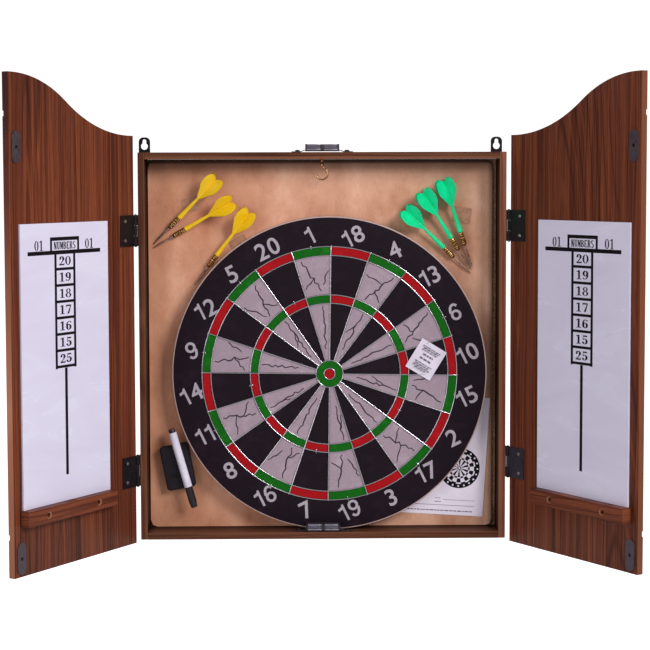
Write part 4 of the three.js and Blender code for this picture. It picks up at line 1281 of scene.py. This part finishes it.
def board_wires():
    """Round wires: five rings, the bull's own ring, twenty spokes with turned-in ends, and small staples."""
    y = BOARD_FACE - 0.75
    parts = []
    for radius in RINGS:
        steps = 160 if radius > 50 else 60
        parts.append(tube([(x, y, z) for x, z in circle(radius, steps)], 0.8, 10, closed=True))
    for i in range(20):
        angle = math.radians(SECTOR * (i + 0.5))
        s, c = math.sin(angle), math.cos(angle)
        reach = [(18, y), (60, y - 0.25), (110, y - 0.25), (160, y - 0.25), (169.6, y), (171.0, BOARD_FACE - 0.1)]
        parts.append(tube([(r * s, depth, r * c) for r, depth in reach], 0.85, 10))
    piece("spider_wires", moved(gather(parts), BOARD), "dartboard", STEEL, ["wire_spider"], smooth=60)
    bull = tube([(x, y, z) for x, z in circle(BULL, 40)], 0.75, 8, closed=True)
    piece("bull_wire", moved(bull, BOARD), "dartboard", STEEL, ["bull_ring"], smooth=60)
    staples = []
    for i in range(20):
        for radius, chosen in ((170, i % 2 == 1), (105.7, i % 4 == 0)):
            if not chosen:
                continue
            angle = math.radians(SECTOR * i)
            s, c = math.sin(angle), math.cos(angle)
            reach = [(-2.8, BOARD_FACE - 0.1), (-2.2, BOARD_FACE - 1.0), (-1.0, y - 0.45), (1.0, y - 0.45),
                     (2.2, BOARD_FACE - 1.0), (2.8, BOARD_FACE - 0.1)]
            path = [((radius + r) * s, max(depth, SPIDER_FRONT + STAPLE_WIRE + 0.01), (radius + r) * c)
                    for r, depth in reach]
            staples.append(tube(path, STAPLE_WIRE, 6))
    piece("spider_staples", moved(gather(staples), BOARD), "dartboard", STEEL, smooth=60)


def sachet():
    """A drying sachet: a filled pouch with flat crimped ends and plain printed bars."""
    wide, high, lean = 38, 44, 31.5
    back, thick = BOARD_FACE - 0.3 - 1.1 - 0.2, 2.6
    place = shift(137.8, 0, -18.8) @ turn("Y", lean)
    across, up = 20, 24
    made = bmesh.new()
    sides = []
    for front in (True, False):
        grid = []
        for i in range(across + 1):
            column = []
            for j in range(up + 1):
                s, t = i / across, j / up
                x, z = (s - 0.5) * wide, (t - 0.5) * high
                fill = (math.sin(math.pi * s) ** 0.7) * (math.sin(math.pi * min(max((t - 0.1) / 0.8, 0), 1)) ** 0.6)
                beads = 0.12 * math.sin(x * 1.9 + 0.4 * z) * math.sin(z * 1.7) * fill
                depth = 0.18 + (thick * 0.86 - 0.2) * fill + beads
                y = back - depth if front else back - 0.02
                column.append(made.verts.new((x, y, z)))
            grid.append(column)
        for i in range(across):
            for j in range(up):
                made.faces.new((grid[i][j], grid[i + 1][j], grid[i + 1][j + 1], grid[i][j + 1]))
        sides.append(grid)
    front, rear = sides
    border = ([(i, 0) for i in range(across)] + [(across, j) for j in range(up)]
              + [(i, up) for i in range(across, 0, -1)] + [(0, j) for j in range(up, 0, -1)])
    for (i, j), (k, m) in zip(border, border[1:] + border[:1]):
        made.faces.new((front[i][j], front[k][m], rear[k][m], rear[i][j]))
    bmesh.ops.recalc_face_normals(made, faces=made.faces[:])
    pouch = piece("drying_sachet", moved(made, place), "dartboard", SACHET_PAPER,
                  ["desiccant_sachet"], smooth=60)
    draw = random.Random(4)
    lines = []
    rows = ((15, 26, 1.1), (12.4, 22, 1.1), (9.8, 24, 1.1), (4.6, 15, 2.4), (-1.2, 18, 2.4), (-7.4, 25, 1.1),
            (-10, 22, 1.1), (-12.6, 26, 1.1), (-15.2, 18, 1.1))
    for z, length, thickness in rows:
        x = -length / 2
        while x < length / 2:
            word = min(draw.uniform(2.2, 5.2), length / 2 - x)
            if word > 1:
                y = back - thick + 0.06
                lines.append(box(x, x + word, y, y + 0.5, z - thickness / 2, z + thickness / 2))
            x += word + 1.1
    piece("sachet_print", moved(gather(lines), place), "dartboard", PRINT_GREY, smooth=0)


# ---------------------------------------------------------------- darts

DART_TILT = 6.1
DARTS = {
    "yellow_dart_1": (-226.8, 133.9, 45.4),
    "yellow_dart_2": (-227, 129.6, 30),
    "yellow_dart_3": (-172.2, 79.4, 52.5),
    "green_dart_1": (199.2, 94, 135.8),
    "green_dart_2": (200.1, 99.1, 122.5),
    "green_dart_3": (201.6, 102.2, 109),
}
POINT, BARREL, STEM, FLIGHT, SPAN = 33, 18, 37, 39, 17.8
GROOVE_REACH = 3.2  # barrel faces nearer the axis than this are groove walls


def bezier(points, steps):
    """Samples a quadratic or cubic curve, without its first point."""
    made = []
    for i in range(1, steps + 1):
        line = [Vector(p) for p in points]
        while len(line) > 1:
            line = [a.lerp(b, i / steps) for a, b in zip(line, line[1:])]
        made.append(tuple(line[0]))
    return made


def wing():
    """One wing of a flight, from the shaft outwards, with a thicker root and a thin rim."""
    start = POINT + BARREL + 0.1 + STEM
    end = start + FLIGHT
    outline = [(0, start - 3)]
    outline += bezier([(0, start - 3), (4, start + 2), (SPAN * 0.72, start + 15)], 8)
    outline += bezier([(SPAN * 0.72, start + 15), (SPAN * 1.04, start + 21), (SPAN * 1.06, start + 30),
                       (SPAN * 0.8, end - 2.6)], 10)
    outline += bezier([(SPAN * 0.8, end - 2.6), (SPAN * 0.62, end + 0.8), (SPAN * 0.3, end), (0, end - 5)], 8)
    return slab(outline, -0.32, 0.32, 0.12)


def grooved_barrel():
    """The turned brass barrel: a nose, cut rings, a waist and a collar."""
    start = POINT - 0.9
    profile = [(0, start), (1.6, start), (2.5, start + 0.7), (3.3, start + 2.6)]
    for i in range(3):
        z = start + 3.2 + i * 2.3
        profile += [(3.55, z), (3.55, z + 1.2), (2.7, z + 1.4), (2.7, z + 2.1)]
    z = start + 10.4
    profile += [(3.55, z), (3.55, z + 1.5), (2.6, z + 2.2), (2.6, z + 3.2), (3.5, z + 3.6)]
    at = z + 5.0
    profile += [(3.5, at), (2.9, at + 0.3), (2.9, at + 0.8), (3.45, at + 1.0)]
    end = POINT + BARREL
    profile += [(3.3, end - 0.7), (3.0, end), (0, end)]
    return lathe(profile, 24)


def darts():
    """The six darts: a steel point, a grooved brass barrel, and a stem with its wings."""
    for name, (x, z, heading) in DARTS.items():
        place = shift(x, CARD_FACE - 1.7, z) @ turn("Y", 90 - heading) @ turn("X", DART_TILT)
        colour, slot = (YELLOW, "yellow_plastic") if name.startswith("yellow") else (GREEN, "green_plastic")
        point = lathe([(0, 0), (0.35, 1.2), (0.8, 4), (1.15, 8.5), (1.3, 14),
                       (1.3, POINT - 0.7), (0, POINT - 0.7)], 16)
        barrel = grooved_barrel()
        for side in barrel.faces:
            middle = side.calc_center_median()
            side.material_index = 1 if math.hypot(middle.x, middle.y) < GROOVE_REACH else 0
        piece(name + "_brass", moved(barrel, place), name, [DART_BRASS, DART_GROOVE],
              [name + "_barrel"], smooth=40)
        piece(name + "_point", moved(point, place), name, POINT_STEEL, smooth=60)
        start = POINT + BARREL + 0.1
        shaft_end = start + STEM + FLIGHT
        shaft = lathe([(0, start), (3.0, start), (3.4, start + 0.5), (3.4, start + 3.2), (3.2, start + 3.6),
                       (3.15, start + 8), (2.0, start + STEM), (1.4, shaft_end - 12), (0.9, shaft_end - 6.5),
                       (0, shaft_end - 5.6)], 20)
        wings = [moved(wing(), turn("Z", angle)) for angle in (45, 135, 225, 315)]
        piece(name + "_plastic", moved(gather([shaft, *wings]), place), name, colour, [name + "_flight"],
              smooth=35)


# ---------------------------------------------------------------- marker, eraser and leaflet

def eraser():
    """The eraser: a plastic block on a felt pad."""
    wide, long, felt, block, lean = 39, 60, 4, 9.5, 11
    place = shift(-195, CARD_FACE - 0.3, -164) @ turn("Y", -lean)
    pad = slab(rounded_rectangle(-wide / 2 + 0.8, wide / 2 - 0.8, -long / 2 + 0.8, long / 2 - 0.8, 3), -felt, 0, 0.6)
    piece("eraser_pad", moved(pad, place), "eraser", FELT, ["eraser_felt"])
    near, far = -felt - 0.1, -felt - block
    grip = slab(rounded_rectangle(-wide / 2, wide / 2, -long / 2, long / 2, 4.5, 8), far + 1.4, near, 0.0)
    crown = slab(rounded_rectangle(-wide / 2 + 0.6, wide / 2 - 0.6, -long / 2 + 0.6, long / 2 - 0.6, 4.2, 8),
                 far, far + 1.5, 1.1)
    ridges = [box(-wide / 2 + 4, wide / 2 - 4, far - 0.0, far + 0.9, z - 0.55, z + 0.55, 0.3) for z in (-12, -9.4)]
    piece("eraser_grip", moved(gather([grip, crown, *ridges]), place), "eraser", ERASER_PLASTIC,
          ["eraser_block"], smooth=40)


def marker():
    """The marker: its end plug, barrel, nib and ribbed cap."""
    radius, plug, barrel, cap = 5.3, 5, 76, 29
    height = 4 + 9.5 + radius + 0.6 + 0.1
    place = shift(-202.6, CARD_FACE - height, -111.7) @ turn("Y", 180 - 15.9)
    barrel_end, cap_end = plug + barrel, plug + barrel + cap
    end_plug = lathe([(0, 0), (radius - 1.8, 0), (radius - 1.3, 0.3), (radius - 1.05, 1.0), (radius - 1.05, plug),
                      (0, plug)], 32)
    piece("marker_end_plug", moved(end_plug, place), "marker", BLACK_PLASTIC, ["marker_plug"])
    body = lathe([(0, plug + 0.1), (radius - 0.5, plug + 0.1), (radius, plug + 0.7), (radius, plug + 3.2),
                  (radius - 0.18, plug + 3.4), (radius - 0.18, plug + 4.0), (radius, plug + 4.2),
                  (radius, barrel_end - 4.4), (radius - 0.2, barrel_end - 4.2), (radius - 0.2, barrel_end - 3.6),
                  (radius, barrel_end - 3.4), (radius, barrel_end), (radius - 1.6, barrel_end),
                  (radius - 1.6, barrel_end + 12), (1.6, barrel_end + 14), (1.2, barrel_end + 19),
                  (0, barrel_end + 19.5)], 32)
    piece("marker_white_barrel", moved(body, place), "marker", MARKER_WHITE, ["marker_barrel"])
    shell = lathe([(radius - 1.3, barrel_end + 0.3), (radius + 0.1, barrel_end + 0.3), (radius + 0.1, barrel_end + 2),
                   (radius - 0.1, barrel_end + 2.3), (radius - 0.35, cap_end - 6), (radius - 0.5, cap_end - 5.6),
                   (radius - 0.9, cap_end - 1.2), (radius - 1.6, cap_end), (0, cap_end), (0, barrel_end + 21),
                   (radius - 2.6, barrel_end + 21), (radius - 1.3, barrel_end + 13),
                   (radius - 1.3, barrel_end + 0.3)], 32)
    ribs = []
    for i in range(16):
        rib = box(-0.22, 0.22, radius - 0.45, radius + 0.02, barrel_end + 4, cap_end - 7, 0.1, 1)
        ribs.append(moved(rib, turn("Z", 22.5 * i)))
    piece("marker_black_cap", moved(gather([shell, *ribs]), place), "cap", BLACK_PLASTIC,
          ["marker_cap"])


def leaflet():
    """The folded leaflet behind the board: plain lines of print and a small diagram of a ringed target."""
    right, top, wide, high, lean = 226, -74.4, 140, 162, 3.4
    place = shift(right, CARD_FACE - 0.1, top) @ turn("Y", lean)
    made = bmesh.new()
    across, up = 28, 32
    grid = []
    for i in range(across + 1):
        column = []
        for j in range(up + 1):
            x, z = -wide + wide * i / across, -high + high * j / up
            wave = 0.12 * math.sin(x / 17) * math.sin(z / 23)
            column.append(made.verts.new((x, -0.16 + wave, z)))
        grid.append(column)
    for i in range(across):
        for j in range(up):
            made.faces.new((grid[i][j], grid[i + 1][j], grid[i + 1][j + 1], grid[i][j + 1]))
    skin = bmesh.ops.extrude_face_region(made, geom=made.faces[:])["geom"]
    bmesh.ops.translate(made, vec=(0, 0.14, 0), verts=[v for v in skin if isinstance(v, bmesh.types.BMVert)])
    bmesh.ops.recalc_face_normals(made, faces=made.faces[:])
    piece("paper_leaflet", moved(made, place), "cabinet", PAPER, ["leaflet"], smooth=60)

    front, back = -0.34, -0.05
    shapes = []
    cx, cz = -35.3, -97.4

    def target_ring(outer, inner, start=0, end=360):
        steps = max(6, int((end - start) / 6))
        count = steps + (0 if end - start == 360 else 1)
        turns = [math.radians(start + (end - start) * i / steps) for i in range(count)]
        a = [(cx + outer * math.sin(t), cz + outer * math.cos(t)) for t in turns]
        b = [(cx + inner * math.sin(t), cz + inner * math.cos(t)) for t in turns]
        shapes.append(strip(a, b, front, back, closed=end - start == 360))

    target_ring(27.5, 21.6)
    for outer, inner in ((12.4, 11.8), (2.6, 1.4)):
        target_ring(outer, inner)
    for i in range(0, 20, 2):
        target_ring(19.8, 14.2, SECTOR * i - 8.4, SECTOR * i + 8.4)
        target_ring(14.2, 12.4, SECTOR * (i + 1) - 7.6, SECTOR * (i + 1) + 7.6)
        target_ring(21.6, 19.8, SECTOR * (i + 1) - 8.4, SECTOR * (i + 1) + 8.4)
        target_ring(11.8, 3, SECTOR * i - 7.6, SECTOR * i + 7.6)
    piece("leaflet_diagram", moved(gather(shapes), place), "cabinet", PRINT_BLACK, smooth=0)
    marks = []
    for i in range(20):
        angle = math.radians(SECTOR * i)
        mark = slab(circle(1.25, 10), front - 0.03, front + 0.1)
        marks.append(moved(mark, shift(cx + 24.5 * math.sin(angle), 0, cz + 24.5 * math.cos(angle))))
    piece("leaflet_diagram_marks", moved(gather(marks), place), "cabinet", PAPER, smooth=0)

    draw = random.Random(7)
    words = []

    def printed_line(z, x0, x1, tall, broken=True):
        x = x0
        while x < x1:
            word = min(draw.uniform(2.4, 6), x1 - x) if broken else x1 - x
            if word > 0.8:
                words.append(box(x, x + word, front, back, z - tall / 2, z + tall / 2))
            x += word + 1.0

    printed_line(-139.5, -66, -58, 0.7)
    printed_line(-141.5, -55, -12, 0.45, broken=False)
    printed_line(-144.5, -66, -57, 1.0)
    printed_line(-149, -96, -12, 0.55, broken=False)
    printed_line(-156.4, -112, -14, 1.3)
    piece("leaflet_print", moved(gather(words), place), "cabinet", PRINT_GREY, smooth=0)


studio()
carcass()
card()
catches()
cup_hook()
hangers()
doors()
board_face()
board_figures()
board_cracks()
board_wires()
sachet()
darts()
eraser()
marker()
leaflet()
